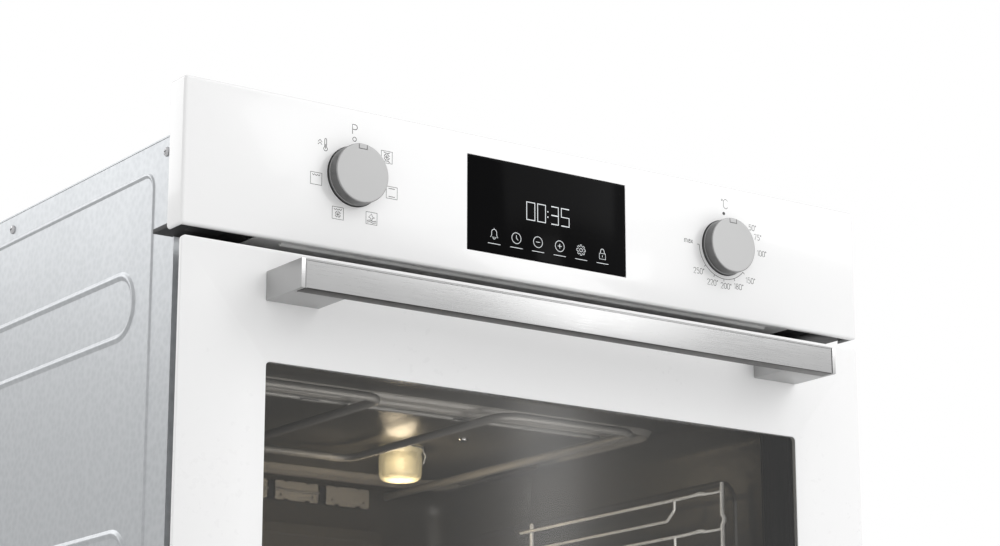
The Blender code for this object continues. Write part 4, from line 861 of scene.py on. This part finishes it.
def door_panes():
    """Outer pane in white print with a dark window, and two inner panes with black printed borders."""
    white = cover("door_outer_glass", 0.003, 0.0006, window_outline())
    piece("door_white_glass", white, "white_print", "door_outer_glass", "door")
    window = plate([window_outline(WINDOW_GAP)], "XZ", PANE_LOW.y + 0.0001, PANE_HIGH.y, 0.0002)
    piece("door_window", window, "window_tint", body="door")
    back, half = PANE_HIGH.y, 0.269
    rim = panel(0, half, PANE_LOW.z + 0.006, PANE_HIGH.z - 0.003, 0.003)
    mask = plate([rim, window_outline(-0.0006)], "XZ", back + 0.00004, back + 0.00016)
    piece("door_window_border", mask, "black_print", body="door")
    for node, half, bottom, top in (("door_middle_glass", 0.250, 0.078, 0.432),
                                    ("door_inner_glass", 0.2555, 0.070, 0.442)):
        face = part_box(node)[0].y
        piece(f"{node}_pane", cover(node, 0.004, 0.0005), "pane_tint", node, "door")
        outlines = [inset(node, 0.004, 0.0008), panel(0, half, bottom, top, 0.010)]
        border = plate(outlines, "XZ", face - 0.00012, face - 0.00002)
        piece(f"{node}_border", border, "black_print", body="door")


def handle():
    """Brushed bar with a fine step along its top edge, on two satin feet."""
    low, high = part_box("handle_bar")
    past, front, top = 0.01, low.y, high.z
    groove = box((low.x - past, front - 0.001, top - 0.0020), (high.x + past, front + 0.0006, top - 0.0015))
    slope = [(front - 0.0003, top - 0.0016), (front + 0.0012, top + 0.0002), (front - 0.0003, top + 0.0002)]
    slant = plate([slope], "YZ", low.x - past, high.x + past)
    bar = carve_in_turn(box(low, high, 0.0009, 3), slant, groove)
    # Faces looking down or back take the dark copy of the steel: painted shade.
    shaded = ("shadow_side", lambda normal, centre: normal.z < -0.7 or normal.y > 0.7)
    piece("handle_bar_brushed", bar, "brushed_front", "handle_bar", "door", shaded)
    back = high.y + 0.0003
    for side, hand in SIDES.items():
        node = f"handle_bracket_{hand}"
        low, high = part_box(node)
        outer, inner = ends(node, side)
        cap = outer - side * 0.003
        outline = [(outer, low.y), (outer, high.y), (inner, high.y), (inner, back), (cap, back),
                   (cap, low.y)]
        foot = plate([outline[::side]], "XY", low.z, high.z, 0.0007)
        foot = carve(foot, rod((side * HANDLE_SCREW_X, high.y - 0.006, middle_of(node).z), 0.0027, 0.016))
        front = ("brushed_front", lambda normal, centre: normal.y < -0.9)
        piece(f"handle_foot_{hand}", foot, "brushed_cap", node, "door", front)


def door_rails():
    """Extruded rails round the door's panes, with air slots in the top one and screws on its inner face."""
    edge, past = 0.0012, 0.01
    low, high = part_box("door_top_rail")
    slot = (low.y + 0.0055, high.y - 0.0052)
    vents = [slab(0.05 * place, 0.012, slot, (low.z - past, high.z + past), 0.001, 1)
             for place in range(-3, 4)]
    room = [rod((side * HANDLE_SCREW_X, depth(0.009), 0.45875), 0.0065, 0.012) for side in SIDES]
    heads = [screw_head((side * 0.255, high.y, 0.4775), BACK, 0.0030) for side in SIDES]
    rail = carve(carve(box(low, high, edge), *vents), *room)
    piece("door_rail_top", [rail, *heads], "rail_alloy", "door_top_rail", "door")
    low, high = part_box("door_bottom_rail")
    ribs = [rib((low.x + past, high.y, z), (high.x - past, high.y, z), BACK, 0.006, 0.0012)
            for z in (0.018, 0.038)]
    piece("door_rail_bottom", [box(low, high, edge), *ribs], "matt_black", "door_bottom_rail", "door")
    for side, hand in SIDES.items():
        node = f"door_side_{hand}"
        low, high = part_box(node)
        x, outer = middle_of(node).x, ends(node, side)[0]
        stiffener = rib((x, high.y, low.z + past), (x, high.y, high.z - past), BACK, 0.006, 0.0010)
        groove = slab(outer, 0.0008, (low.y + 0.010, low.y + 0.013), (low.z - past, high.z + past))
        rail = carve(box(low, high, edge), groove)
        piece(f"door_rail_{hand}", [rail, stiffener], "rail_alloy", node, "door")


# Cavity


def liner():
    """Enamelled cavity with rounded corners and holes for the fan, lamp, probe and heater ends."""
    back, reach = LINER_HIGH.y, HEATER_RADIUS + 0.0005
    low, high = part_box("grill_element")
    cutters = [
        rod((0, back, FAN_Z), 0.0065, 0.01),
        rod((LAMP.x, LAMP.y, LINER_HIGH.z), 0.0145, 0.01, "Z", 48),
        rod((PROBE_X, PROBE_Y, LINER_HIGH.z), 0.0018, 0.01, "Z", 16),
    ]
    for side in SIDES:
        grill_end = (high.x - HEATER_RADIUS) * side
        cutters.append(rod((grill_end, back, middle_of("grill_element").z), reach, 0.05))
        cutters.append(rod((side * RING_END_X, back, RING_END_Z), reach, 0.01))
    shell = open_shell(LINER_LOW, LINER_HIGH, -1, LINER_CORNER, 10, LINER_WALL)
    piece("cavity_shell", carve(shell, *cutters), "enamel", "cavity_liner", sharp=25)


def cavity_pressings():
    """A raised double border on the roof, one on each side wall and the floor, and a ring round the fan."""
    sunk = 0.0002
    roof = []
    for step in (0.0, 0.020):
        outline = panel(0, 0.2195 - step, depth(0.150 + step), depth(0.4685 - step), 0.024 - step * 0.3, 8)
        roof.append(pressed(outline, "XY", ROOF, -1, 0.0100, 0.0048, sunk))
    # The roof borders take the lighter enamel copy: painted highlight on the ridges.
    piece("roof_borders", roof, "enamel_painted_highlight")
    wall = rounded((depth(0.080), 0.122), (depth(0.440), 0.3865), 0.018, 8)
    borders = [pressed(wall, "YZ", side * CAVITY_SIDE, -side, 0.0065, 0.0017, sunk) for side in SIDES]
    borders.append(pressed(ring((0, FAN_Z), 0.118, 64), "XZ", REAR, -1, 0.006, 0.0016, sunk))
    floor = panel(0, 0.190, depth(0.085), depth(0.440), 0.03, 8)
    borders.append(pressed(floor, "XY", LINER_LOW.z + LINER_WALL, 1, 0.008, 0.0016, sunk))
    piece("cavity_stampings", borders, "enamel")
    screws("cavity_roof_screws", [(x, depth(0.266), ROOF) for x in (0.108, -0.150)], DOWN, 0.0042)


def mouth_frame():
    """Enamelled frame round the cavity mouth: rolled inner edge, outer step and slots for the hinge arms."""
    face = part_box("front_frame")[0].y
    mouth = inset("cavity_liner", LINER_CORNER, steps=10)
    slots = [panel(x, 0.00375, 0.008, 0.032, 0.001, 2) for x in (-0.252, 0.252)]
    sheet = cover("front_frame", 0.003, 0.0002, mouth, *slots)
    roll = 0.0022
    rolled = inset("cavity_liner", LINER_CORNER + roll, -roll, steps=10)
    lip = pressed(rolled, "XZ", face, -1, 0.0040, 0.0013, 0.0002)
    step = pressed(panel(0, 0.2610, 0.066, 0.458, 0.030, 10), "XZ", face, -1, 0.0050, 0.0012, 0.0002)
    piece("mouth_frame", [sheet, lip, step], "enamel", "front_frame")
    low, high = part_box("door_gasket")
    radius, y = (high.y - low.y) / 2, middle_of("door_gasket").y
    path = [(x, y, z) for x, z in inset("door_gasket", 0.030, radius, steps=12)]
    piece("door_seal", wire(path, radius, closed=True), "braid", "door_gasket")


def rack(side, hand):
    """Chromed wire ladder: kinked front upright, plain rear one, and guides that end in flattened tips."""
    upright_x, guide_x = side * 0.2240, side * 0.2209
    front, rear, stop = 0.079, 0.332, 0.134
    head, foot, kink = 0.3838, 0.1402, 0.0022
    levels = [0.377 - 0.0295 * level for level in range(8)]
    kinks = [(front, 0.0185), (front - kink, 0.0215), (front - kink, 0.0235), (front, 0.0265)]
    kinked = [(d, z - drop) for z in levels for d, drop in kinks if z - drop > foot + 0.004]
    lines = [[(front, head), *kinked, (front, foot)], [(rear, head), (rear, foot)]]
    meshes = [wire([(upright_x, depth(d), z) for d, z in line], 0.0018) for line in lines]
    tip = [(rear + 0.012, 0, 0, 1), (0.116, 0, 0, 1), (0.109, 0, 0.0004, 1.05), (0.103, 0, 0.0006, 1.35),
           (0.100, 0, 0.0003, 1.3), (0.0965, 0.0010, -0.0004, 0.9), (0.088, 0.0022, -0.0005, 0.75),
           (front, 0.0031, 0, 0.75)]
    for z in levels:
        guide = [(guide_x + side * out, depth(d), z + rise) for d, out, rise, _ in tip]
        meshes.append(wire(guide, 0.0013, radii=[thick for _, _, _, thick in tip]))
        lower = [(stop, z), (stop, z - 0.008), (stop + 0.010, z - 0.016), (rear + 0.004, z - 0.016)]
        meshes.append(wire(bend([(guide_x, depth(d), z) for d, z in lower], 0.003, 4), 0.0012))
    piece(f"rack_wires_{hand}", meshes, "chrome", f"side_rack_{hand}")


def heater(name, node, path, radius=HEATER_RADIUS):
    piece(name, wire(path, radius, detail=4), "heater", node)


def heaters():
    """Bent heating tubes: grill, floor heater and the ring round the fan."""
    low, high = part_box("grill_element")
    z, left, right = (low.z + high.z) / 2, low.x + HEATER_RADIUS, high.x - HEATER_RADIUS
    inner = ((left + right) / 2 - 0.054, (left + right) / 2 + 0.054)
    front, back, end = low.y + HEATER_RADIUS, depth(0.345), high.y
    corners = [(left, end), (left, front), (inner[0], front), (inner[0], back),
               (inner[1], back), (inner[1], front), (right, front), (right, end)]
    heater("grill_tube", "grill_element", bend([(x, y, z) for x, y in corners], 0.016, 8))
    low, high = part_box("bottom_element")
    radius, stem = (high.z - low.z) / 2, 0.03
    z, half = low.z + radius, high.x - radius
    front, back, end = low.y + radius, depth(0.43), high.y
    corners = [(-stem, end), (-stem, back), (-half, back), (-half, front),
               (half, front), (half, back), (stem, back), (stem, end)]
    heater("floor_heater_tube", "bottom_element", bend([(x, y, z) for x, y in corners], 0.02, 8), radius)
    low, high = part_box("ring_element")
    level, start = low.y + HEATER_RADIUS, math.asin(RING_END_X / RING_REACH)
    turns = [start + (2 * math.pi - 2 * start) * step / 64 for step in range(65)]
    loop = [(RING_REACH * math.sin(a), level, FAN_Z + RING_REACH * math.cos(a)) for a in turns]
    path = [(loop[0][0], high.y, loop[0][2]), *loop, (loop[-1][0], high.y, loop[-1][2])]
    heater("ring_heater_tube", "ring_element", path)


def grill_holder():
    """Cross rod that carries the grill tube, hung from folded brackets with a lip and a screw each."""
    low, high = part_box("grill_support")
    thick, half, top = 0.0022, 0.008, high.z
    y, z = depth(0.177), low.z + thick
    meshes = [wire([(-high.x, y, z), (high.x, y, z)], thick, detail=4)]
    for x in (-0.092, 0.045):
        meshes += [
            slab(x, half, (y - 0.001, y + 0.001), (z - 0.0028, top), 0.0005),
            slab(x, half, (y - 0.008, y + 0.001), (top - 0.0012, top), 0.0004),
            slab(x, half, (y - 0.004, y), (z - 0.0028, z - 0.0018), 0.0003),
            screw_head((x + 0.002, y - 0.0045, top - 0.0012), DOWN, 0.0022),
        ]
    piece("grill_holder", meshes, "dark_steel", "grill_support")


def lamp():
    """Glass cup with a thick rounded base and rim, a glowing core, a ceramic socket and a sprung clip."""
    low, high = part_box("lamp_cover")
    x, y, top = LAMP.x, LAMP.y, high.z
    outer, wall, drop = high.x - x, 0.0016, low.z - top
    waist, inner = outer - 0.0009, outer - wall
    profile = [(inner, 0), (outer, 0), (outer, -0.0045), (waist, -0.0056), (waist, -0.0075), (outer, -0.0086),
               (outer - 0.0003, drop + 0.009)]
    profile += arc(outer - 0.0068, drop + 0.0068, 0.0065, 0, -90, 6)
    profile += [(0, drop), (0, drop + wall)]
    profile += arc(outer - 0.0078, drop + 0.0074, 0.0058, -90, 0, 6, 0.0056)
    profile += [(inner - 0.0004, -0.006), (inner, 0)]
    piece("lamp_cup", turned(profile, (x, y, top), "Z", 64), "cup_glass", "lamp_cover", sharp=50)
    core = [(0, -0.0102), (0.0118, -0.0102), (0.0128, -0.0112), (0.0128, -0.0195), (0.0118, -0.0222),
            (0.0080, -0.0240), (0, -0.0246)]
    piece("lamp_core", turned(core, (x, y, top), "Z", 40), "lamp_glow", "lamp_bulb")
    holder = [(0, 0.0222), (0.0125, 0.0222), (0.0150, 0.0195), (0.0150, 0.0120), (0.0140, 0.0110),
              (0.0150, 0.0100), (0.0150, 0.0028), (0.0138, 0.0022), (0.0138, -0.0092), (0.0126, -0.0098),
              (0, -0.0098)]
    piece("lamp_socket", turned(holder, (x, y, top + 0.0003), "Z", 48), "ceramic", "lamp_holder")
    strap = [(0.0183, 0.0), (0.0192, 0.0), (0.0194, -0.0040), (0.0216, -0.0080), (0.0193, -0.0150),
             (0.0184, -0.0150), (0.0205, -0.0082), (0.0184, -0.0045)]
    clip = plate([strap], "XZ", -0.0030, 0.0030, 0.0001)
    clip.transform(Matrix.Translation((x, y, top)) @ Matrix.Rotation(math.radians(-35), 4, "Z"))
    rim = [(a, b, top - 0.0016) for a, b in ring((x, y), 0.0186, 40)]
    piece("lamp_clip", [clip, wire(rim, 0.0007, closed=True)], "motor")


def probe():
    """Thermostat capillary that widens to a bulb under the roof."""
    low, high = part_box("thermostat_probe")
    swollen = 2.4
    top, level = high.z - PROBE_RADIUS, low.z + PROBE_RADIUS * swollen
    corners = [(low.y, top), (PROBE_Y, top), (PROBE_Y, level), (depth(0.290), level)]
    path = bend([(PROBE_X, y, z) for y, z in corners], 0.008, 6)[:-1]
    bulb = {0.372: 1.0, 0.3695: 1.5, 0.367: 2.2, 0.364: swollen, 0.296: swollen, 0.292: 2.0, 0.290: 1.0}
    radii = [1.0] * len(path) + list(bulb.values())
    path += [Vector((PROBE_X, depth(d), level)) for d in bulb]
    piece("probe_capillary", wire(path, PROBE_RADIUS, radii=radii), "copper", "thermostat_probe")


STRIP_SPANS = ((-0.152, -0.1075), (-0.0995, -0.0560), (-0.0480, 0.0480), (0.0560, 0.0995), (0.1075, 0.152))


def notched_edge(left, right, level, half, slant, notch):
    """Points along a strip's edge from left to right, with a notch in each share of its length."""
    count = max(1, round((right - left) / 0.022))
    points = []
    for index in range(count):
        x = left + (index + 0.5) * (right - left) / count
        points += [(x - half, level), (x - half + slant, level + notch), (x + half - slant, level + notch),
                   (x + half, level)]
    return points


def rear_strip():
    """Notched strip in five segments along the top of the rear wall, with a rod held by dark clamps."""
    low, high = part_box("rear_vent_strip")
    wall, corner, nip = 0.0012, 0.0015, 0.0012
    middle = (low.z + high.z) / 2
    plates = []
    for left, right in STRIP_SPANS:
        outline = [
            (left, low.z + nip), (left + corner, low.z),
            *notched_edge(left, right, low.z, 0.0030, 0.0010, 0.0017),
            (right - corner, low.z), (right, low.z + nip), (right, high.z - nip), (right - corner, high.z),
            *notched_edge(left, right, high.z, 0.0022, 0.0008, -0.0012)[::-1],
            (left + corner, high.z), (left, high.z - nip),
        ]
        holes = [ring((x, middle - 0.0038), 0.0011, 12) for x in (left + 0.006, right - 0.006)]
        plates.append(plate([outline, *holes], "XZ", high.y - wall, high.y, 0.0002))
    rail = box((low.x, high.y - wall + 0.0005, middle - 0.0022), (high.x, high.y, middle + 0.0022))
    piece("rear_strip_segments", [*plates, rail], "enamel_light", "rear_vent_strip")
    reach, y = 0.1035, low.y + 0.0016
    piece("rear_strip_rod", wire([(x, y, middle + 0.0003) for x in (-reach, reach)], 0.0013), "dark_steel")
    clamps = [slab(x, 0.0036, (low.y + 0.0002, high.y - 0.0001), (low.z + 0.002, high.z - 0.002), 0.0008)
              for x in (-reach, -0.052, 0.052, reach)]
    piece("rear_strip_clamps", clamps, "matt_black")


def baffle():
    """Pan over the convection fan with round intake holes, a stamped ring and four screws."""
    node = "fan_baffle"
    low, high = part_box(node)
    face = low.y + 0.0007
    holes = []
    for radius, count in ((0.022, 5), (0.050, 10)):
        holes += [ring((x, FAN_Z + z), 0.0092, 24) for x, z in ring((0, 0), radius, count)]
    sheet = plate([inset(node, 0.008), *holes], "XZ", low.y + 0.0006, low.y + 0.0016, 0.0002)
    wall = plate([inset(node, 0.008), inset(node, 0.007, 0.001)], "XZ", low.y + 0.0010, high.y)
    stamped = [pressed(ring((0, FAN_Z), radius, 64), "XZ", face, -1, width, 0.0007)
               for radius, width in ((0.0660, 0.005), (0.0355, 0.003))]
    stamped.append(pressed(inset(node, 0.010, 0.009, steps=8), "XZ", face, -1, 0.005, 0.0007))
    piece("baffle_pan", [sheet, wall, *stamped], "enamel", node)
    margin = 0.022
    heads = joined(*[screw_head((x, face, z), FORWARD, 0.0026)
                     for x in (low.x + margin, high.x - margin) for z in (low.z + margin, high.z - margin)])
    for vertex in heads.vertices:
        vertex.co.y = max(vertex.co.y, low.y)
    piece("baffle_screws", heads, "screw")


# Behind the panel


def display_housing():
    """Display housing with two clips and its circuit board."""
    low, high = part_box("display_module")
    split = low.y + (high.y - low.y) * 0.55
    shell = box(low, (high.x, split, high.z), 0.0015, 3)
    clips = [slab(x * 0.6, 0.004, (split - 0.004, split + 0.003), (high.z - 0.0016, high.z), 0.0004)
             for x in (low.x, high.x)]
    piece("display_housing", [shell, *clips], "matt_black", "display_module")
    face, edge = split + 0.0020, 0.003
    board = box((low.x + edge, split + 0.0004, low.z + edge), (high.x - edge, face, high.z - edge), 0.0003)
    piece("display_board", board, "board")
    chips = []
    margin, count = 0.016, 8
    top = min(high.y - 0.0003, face + 0.0022)
    for index in range(count + 1):
        x = low.x + margin + index * (high.x - low.x - 2 * margin) / count
        z = low.z + margin + (index * 7 % 5) * 0.009
        wide, tall = 0.003 + 0.001 * (index % 3), 0.0025 + 0.001 * (index % 2)
        chips.append(slab(x, wide, (face - 0.0002, top), (z - tall, z + tall), 0.0003))
    piece("display_chips", chips, "matt_black")


def controls():
    """The selector switch, the thermostat and the bracket that carries them."""
    low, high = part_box("function_switch")
    x, z = face_centre("function_switch")
    back = high.y - 0.0072
    ribs = [rib((x + dx, back, z - 0.014), (x + dx, back, z + 0.014), BACK, 0.003, 0.0008)
            for dx in (-0.006, 0.006)]
    tabs = [box((x + dx, back - 0.001, z + dz), (x + dx + 0.001, high.y, z + dz + 0.006), 0.0002, 1)
            for dx in (-0.012, 0.0, 0.011) for dz in (-0.012, 0.006)]
    body = box(low, (high.x, back, high.z), 0.0020, 3)
    piece("selector_body", [body, *ribs], "matt_black", "function_switch")
    piece("selector_terminals", tabs, "screw")
    low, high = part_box("thermostat_body")
    x, z = face_centre("thermostat_body")
    length = high.y - low.y
    profile = [(0, length), (0.0158, length), (0.0170, length - 0.0006), (0.0175, length - 0.0016),
               (0.0175, 0.0112), (0.0168, 0.0098), (0.0150, 0.0086), (0.0150, 0.0012), (0.0140, 0.0), (0, 0)]
    rims = [(0.0150, 0.0070), (0.0154, 0.0060), (0.0150, 0.0050), (0.0148, 0.0060), (0.0150, 0.0070)]
    can = [turned(points, (x, high.y, z), "Y", 56) for points in (profile, rims)]
    piece("thermostat_can", can, "motor", "thermostat_body")
    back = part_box("panel_bracket")[1].y
    holes = [ring(face_centre(name), 0.005, 24) for name in KNOBS]
    slots = [panel(dx, 0.015, 0.511, 0.519, 0.003) for dx in (-0.1, 0.1)]
    sheet = cover("panel_bracket", 0.004, 0.0002, *holes, *slots)
    runs = [rib((-0.20, back, z), (0.20, back, z), BACK, 0.006, 0.0006) for z in (0.5045, 0.5835)]
    piece("bracket_sheet", [sheet, *runs], "galvanised", "panel_bracket")


# Insulation and casing


def resampled(outline, count):
    """The same closed outline with evenly spaced points."""
    points = [Vector(point) for point in outline]
    spans = [(b - a).length for a, b in zip(points, points[1:] + points[:1])]
    step = sum(spans) / count
    result, index, walked = [], 0, 0.0
    for place in range(count):
        target = place * step
        while walked + spans[index] < target:
            walked += spans[index]
            index += 1
        share = (target - walked) / spans[index] if spans[index] else 0
        result.append(tuple(points[index].lerp(points[(index + 1) % len(points)], share)))
    return result


def puff_at(spot):
    """Height of the wool's lumps: coarse, middling and fine."""
    waves = ((22, 0.0024), (75, 0.0012), (190, 0.0006))
    return sum(noise.noise(spot * scale) * height for scale, height in waves)


def wool():
    """Puffy glass-wool sleeve round the cavity, held by two wire straps."""
    node = "insulation_wrap"
    low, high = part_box(node)
    strap_places = [low.y + (high.y - low.y) * share for share in (0.22, 0.80)]
    columns, rows, margin = 220, 50, 0.001
    outer = resampled(inset(node, 0.028, 0.002, steps=8), columns)
    inner = resampled(panel(0, 0.2395, 0.0700, 0.4365, 0.024, 8), columns)
    builder = bmesh.new()
    loops = []
    for row in range(rows + 1):
        share = row / rows
        y = low.y + margin + (high.y - low.y - 2 * margin) * share
        ease = min(1.0, 12 * min(share, 1 - share))
        dent = max(math.exp(-((y - strap) / 0.010) ** 2) for strap in strap_places)
        shrink = 0.0035 * (1 - ease) ** 2 + 0.0022 * dent
        loop = []
        for index, (x, z) in enumerate(outer):
            before, after = outer[index - 1], outer[(index + 1) % columns]
            normal = Vector((after[1] - before[1], 0, before[0] - after[0])).normalized()
            spot = Vector((x, y, z))
            loop.append(builder.verts.new(spot + normal * (puff_at(spot) * ease - shrink)))
        loops.append(loop)
    for y in (high.y - margin, low.y + margin):
        loops.append([builder.verts.new((x, y, z)) for x, z in inner])
    for first, second in zip(loops, [*loops[1:], loops[0]]):
        for index in range(columns):
            after = (index + 1) % columns
            builder.faces.new((first[index], first[after], second[after], second[index]))
    bmesh.ops.recalc_face_normals(builder, faces=builder.faces)
    data = carve(mesh_of(builder), rod((LAMP.x, LAMP.y, high.z - 0.01), 0.0168, 0.05, "Z", 40),
                 rod((PROBE_X, PROBE_Y, high.z - 0.01), 0.003, 0.05, "Z", 16))
    piece("insulation_wool", data, "wool", node, sharp=70)
    path = resampled(inset(node, 0.029, 0.0015, steps=8), 120)
    straps = [wire([(x, y, z) for x, z in path], 0.0010, closed=True, detail=2) for y in strap_places]
    piece("insulation_straps", straps, "screw")


def side_details(side, hand):
    """Three long ribs, a border and six screws on a side casing."""
    node = f"side_casing_{hand}"
    low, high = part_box(node)
    face = ends(node, side)[0]
    pressings = []
    for z in (low.z + 0.10, low.z + 0.28, low.z + 0.46):
        outline = rounded((low.y + 0.055, z - 0.022), (high.y - 0.055, z + 0.022), 0.0215, 8)
        pressings.append(pressed(outline, "YZ", face, side, 0.007, 0.0014))
    border = rounded((low.y + 0.030, low.z + 0.020), (high.y - 0.018, high.z - 0.020), 0.012)
    pressings.append(pressed(border, "YZ", face, side, 0.005, 0.0010))
    piece(f"side_pressings_{hand}", pressings, "galvanised")
    places = [(face, y, z) for y in (low.y + 0.012, (low.y + high.y) / 2, high.y - 0.008)
              for z in (low.z + 0.010, high.z - 0.010)]
    screws(f"side_screws_{hand}", places, (side, 0, 0))


def top_details():
    """Border, two long panels, a wide one, louvre hoods and screws on the top cover."""
    low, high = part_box("top_cover")
    level, front, half = high.z, low.y + 0.06, 0.024
    outlines = [panel(x, 0.025, front, high.y - 0.06, 0.012) for x in (-0.170, 0.170)]
    outlines.insert(0, inset("top_cover", 0.012, 0.020, "XY"))
    pressings = [pressed(outline, "XY", level, 1, 0.006, 0.0012) for outline in outlines]
    pressings.append(pressed(panel(0, 0.120, front, low.y + 0.30, 0.020), "XY", level, 1, 0.007, 0.0014))
    for y in (depth(0.420), depth(0.490)):
        for x in [place * 0.024 + 0.0100 for place in (-4, -2, 0, 2, 4)]:
            pressings.append(rib((x, y - half, level), (x, y + half, level), UP, 0.006, 0.0022))
    piece("top_pressings", pressings, "galvanised")
    places = [(x, y, level) for x in (low.x + 0.008, 0.0, high.x - 0.008)
              for y in (low.y + 0.010, high.y - 0.008)]
    screws("top_screws", places, UP)


def rear_details():
    """Border, two raised panels, louvre hoods and screws on the rear cover."""
    low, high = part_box("rear_cover")
    face, margin, half = high.y, 0.008, 0.044
    shapes = [
        (inset("rear_cover", 0.014, 0.018), 0.006, 0.0013),
        (panel(0, 0.105, 0.145, 0.300, 0.040, 8), 0.009, 0.0022),
        (panel(0, 0.200, 0.050, 0.110, 0.020, 8), 0.007, 0.0014),
    ]
    pressings = [pressed(outline, "XZ", face, 1, width, height) for outline, width, height in shapes]
    for x in (-0.130, 0.130):
        for z in [0.3358 + 0.022 * row for row in range(5)]:
            pressings.append(rib((x - half, face, z), (x + half, face, z), BACK, 0.008, 0.0040))
    piece("rear_pressings", pressings, "galvanised")
    left, right = low.x + margin, high.x - margin
    places = [(x, face, z) for x in (left, -0.09, 0.09, right) for z in (low.z + margin, high.z - margin)]
    screws("rear_screws", places + [(x, face, 0.28) for x in (left, right)], BACK)


def mains_box():
    """Moulded connection box with a ribbed lid, two screws and a gland round the cable entry."""
    low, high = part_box("terminal_box")
    entry_x, entry_y = 0.180, depth(0.5755)
    rim, back = 0.0008, high.y
    body = carve(box(low, (high.x, back - 0.004, high.z), 0.0025, 3),
                 rod((entry_x, entry_y, low.z), 0.0055, 0.030, "Z", 40))
    lid = box((low.x + rim, back - 0.0044, low.z + rim), (high.x - rim, back - 0.0006, high.z - rim),
              0.0016, 3)
    y = back - 0.0007
    ribs = [rib((x, y, low.z + 0.010), (x, y, high.z - 0.010), BACK, 0.003, 0.0006)
            for x in [low.x + offset for offset in (0.026, 0.035, 0.045, 0.055, 0.064)]]
    gland = pressed(ring((entry_x, entry_y), 0.0072, 40), "XY", low.z + 0.0002, -1, 0.0022, 0.0012)
    piece("mains_box_shell", [body, lid, gland, *ribs], "matt_black", "terminal_box")
    places = [(x, back - 0.0010, (low.z + high.z) / 2) for x in (low.x + 0.010, high.x - 0.010)]
    screws("mains_box_screws", places, BACK, 0.0026)


# Floor, lights and camera


def pale_floor():
    made = bpy.data.materials.new("pale_floor")
    made.use_nodes = True
    space = add(made, "ShaderNodeTexCoord").outputs["Object"]
    speckle = noise_of(made, Vector=space, Scale=6.0, Detail=5.0)
    tone = add(made, "ShaderNodeMapRange", Value=speckle, To_Min=0.80, To_Max=0.84).outputs["Result"]
    shader = made.node_tree.nodes["Principled BSDF"]
    feed(made, shader.inputs["Base Color"], tone)
    feed(made, shader.inputs["Roughness"], 0.7)
    builder = bmesh.new()
    bmesh.ops.create_grid(builder, x_segments=1, y_segments=1, size=14.0)
    data = mesh_of(builder)
    data.materials.append(made)
    floor = link("floor", data)
    floor.location.z = CAD_BOX[0][2] - 0.0005


def light(name, kind, place, power, colour=(1, 1, 1)):
    data = bpy.data.lights.new(name, kind)
    data.energy = power
    data.color = colour
    lit = link(name, data)
    lit.location = place
    return lit


def area_light(name, place, target, size, power, colour=(1, 1, 1), height=None):
    lit = light(name, "AREA", place, power, colour)
    lit.data.size = size
    if height:
        lit.data.shape = "RECTANGLE"
        lit.data.size_y = height
    lit.rotation_euler = (Vector(target) - Vector(place)).to_track_quat("-Z", "Y").to_euler()
    return lit


def oven_light(name, place, power):
    lit = light(name, "POINT", place, power, (1.0, 0.82, 0.56))
    lit.data.shadow_soft_size = 0.014
    lit.visible_camera = False
    return lit


def surroundings():
    """White to the camera, and a softer even glow for everything else."""
    world = bpy.data.worlds.new("studio")
    bpy.context.scene.world = world
    world.use_nodes = True
    white = (1, 1, 1, 1)
    output = world.node_tree.nodes["World Output"]
    glow = add(world, "ShaderNodeBackground", Color=white, Strength=WORLD_GLOW)
    seen = add(world, "ShaderNodeBackground", Color=white, Strength=1.0)
    mixed = add(world, "ShaderNodeMixShader", Fac=add(world, "ShaderNodeLightPath").outputs["Is Camera Ray"])
    feed(world, mixed.inputs[1], glow.outputs["Background"])
    feed(world, mixed.inputs[2], seen.outputs["Background"])
    feed(world, output.inputs["Surface"], mixed.outputs["Shader"])
    bpy.context.scene.view_settings.view_transform = "Standard"


def studio():
    """A big soft light high on the right, a card for the window, a fill behind, and lamps in the cavity."""
    middle = (0, FRONT, 0.35)
    area_light("key", (1.6, -2.2, 2.2), middle, 2.0, 26)
    area_light("window_card", (1.5, -2.35, 0.83), middle, 0.35, 2.6, height=0.70)
    area_light("back_fill", (-1.5, 2.5, 2.0), (0, 0.2, 0.3), 1.6, 14)
    floor = LINER_LOW.z
    fill = area_light("cavity_fill", (0.0, MOUTH + 0.012, floor + 0.19), (0.0, REAR, floor + 0.22), 0.40,
                      FILL_POWER, (1.0, 0.97, 0.92), height=0.24)
    fill.visible_camera = False
    below = oven_light("oven_lamp", (LAMP.x, LAMP.y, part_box("lamp_cover")[0].z - 0.012), LAMP_POWER)
    below.visible_glossy = False
    oven_light("oven_lamp_front", (LAMP.x - 0.018, LAMP.y - 0.026, LAMP.z), FRONT_LAMP_POWER)


def camera():
    data = bpy.data.cameras.new("camera")
    data.lens = CAMERA_LENS
    data.sensor_width = 36.0
    data.clip_end = 100
    eye = link("camera", data)
    eye.location = CAMERA_PLACE
    x, y = math.sin(CAMERA_HEADING), math.cos(CAMERA_HEADING)
    heading = Vector((x, y, math.tan(CAMERA_PITCH)))
    eye.rotation_euler = heading.to_track_quat("-Z", "Y").to_euler()
    bpy.context.scene.camera = eye


make_finishes()
finish_nodes()
fascia()
piece("display_window", cover("display_glass", 0.0018, 0.0003), "black_display", "display_glass")
for node in KNOBS:
    knob(node)
function_marks()
thermostat_marks()
display_marks()
vent_slot()
door_panes()
door_rails()
handle()
liner()
cavity_pressings()
mouth_frame()
for side, hand in SIDES.items():
    rack(side, hand)
heaters()
grill_holder()
lamp()
probe()
rear_strip()
baffle()
display_housing()
controls()
wool()
for side, hand in SIDES.items():
    side_details(side, hand)
top_details()
rear_details()
mains_box()
pale_floor()
surroundings()
studio()
camera()
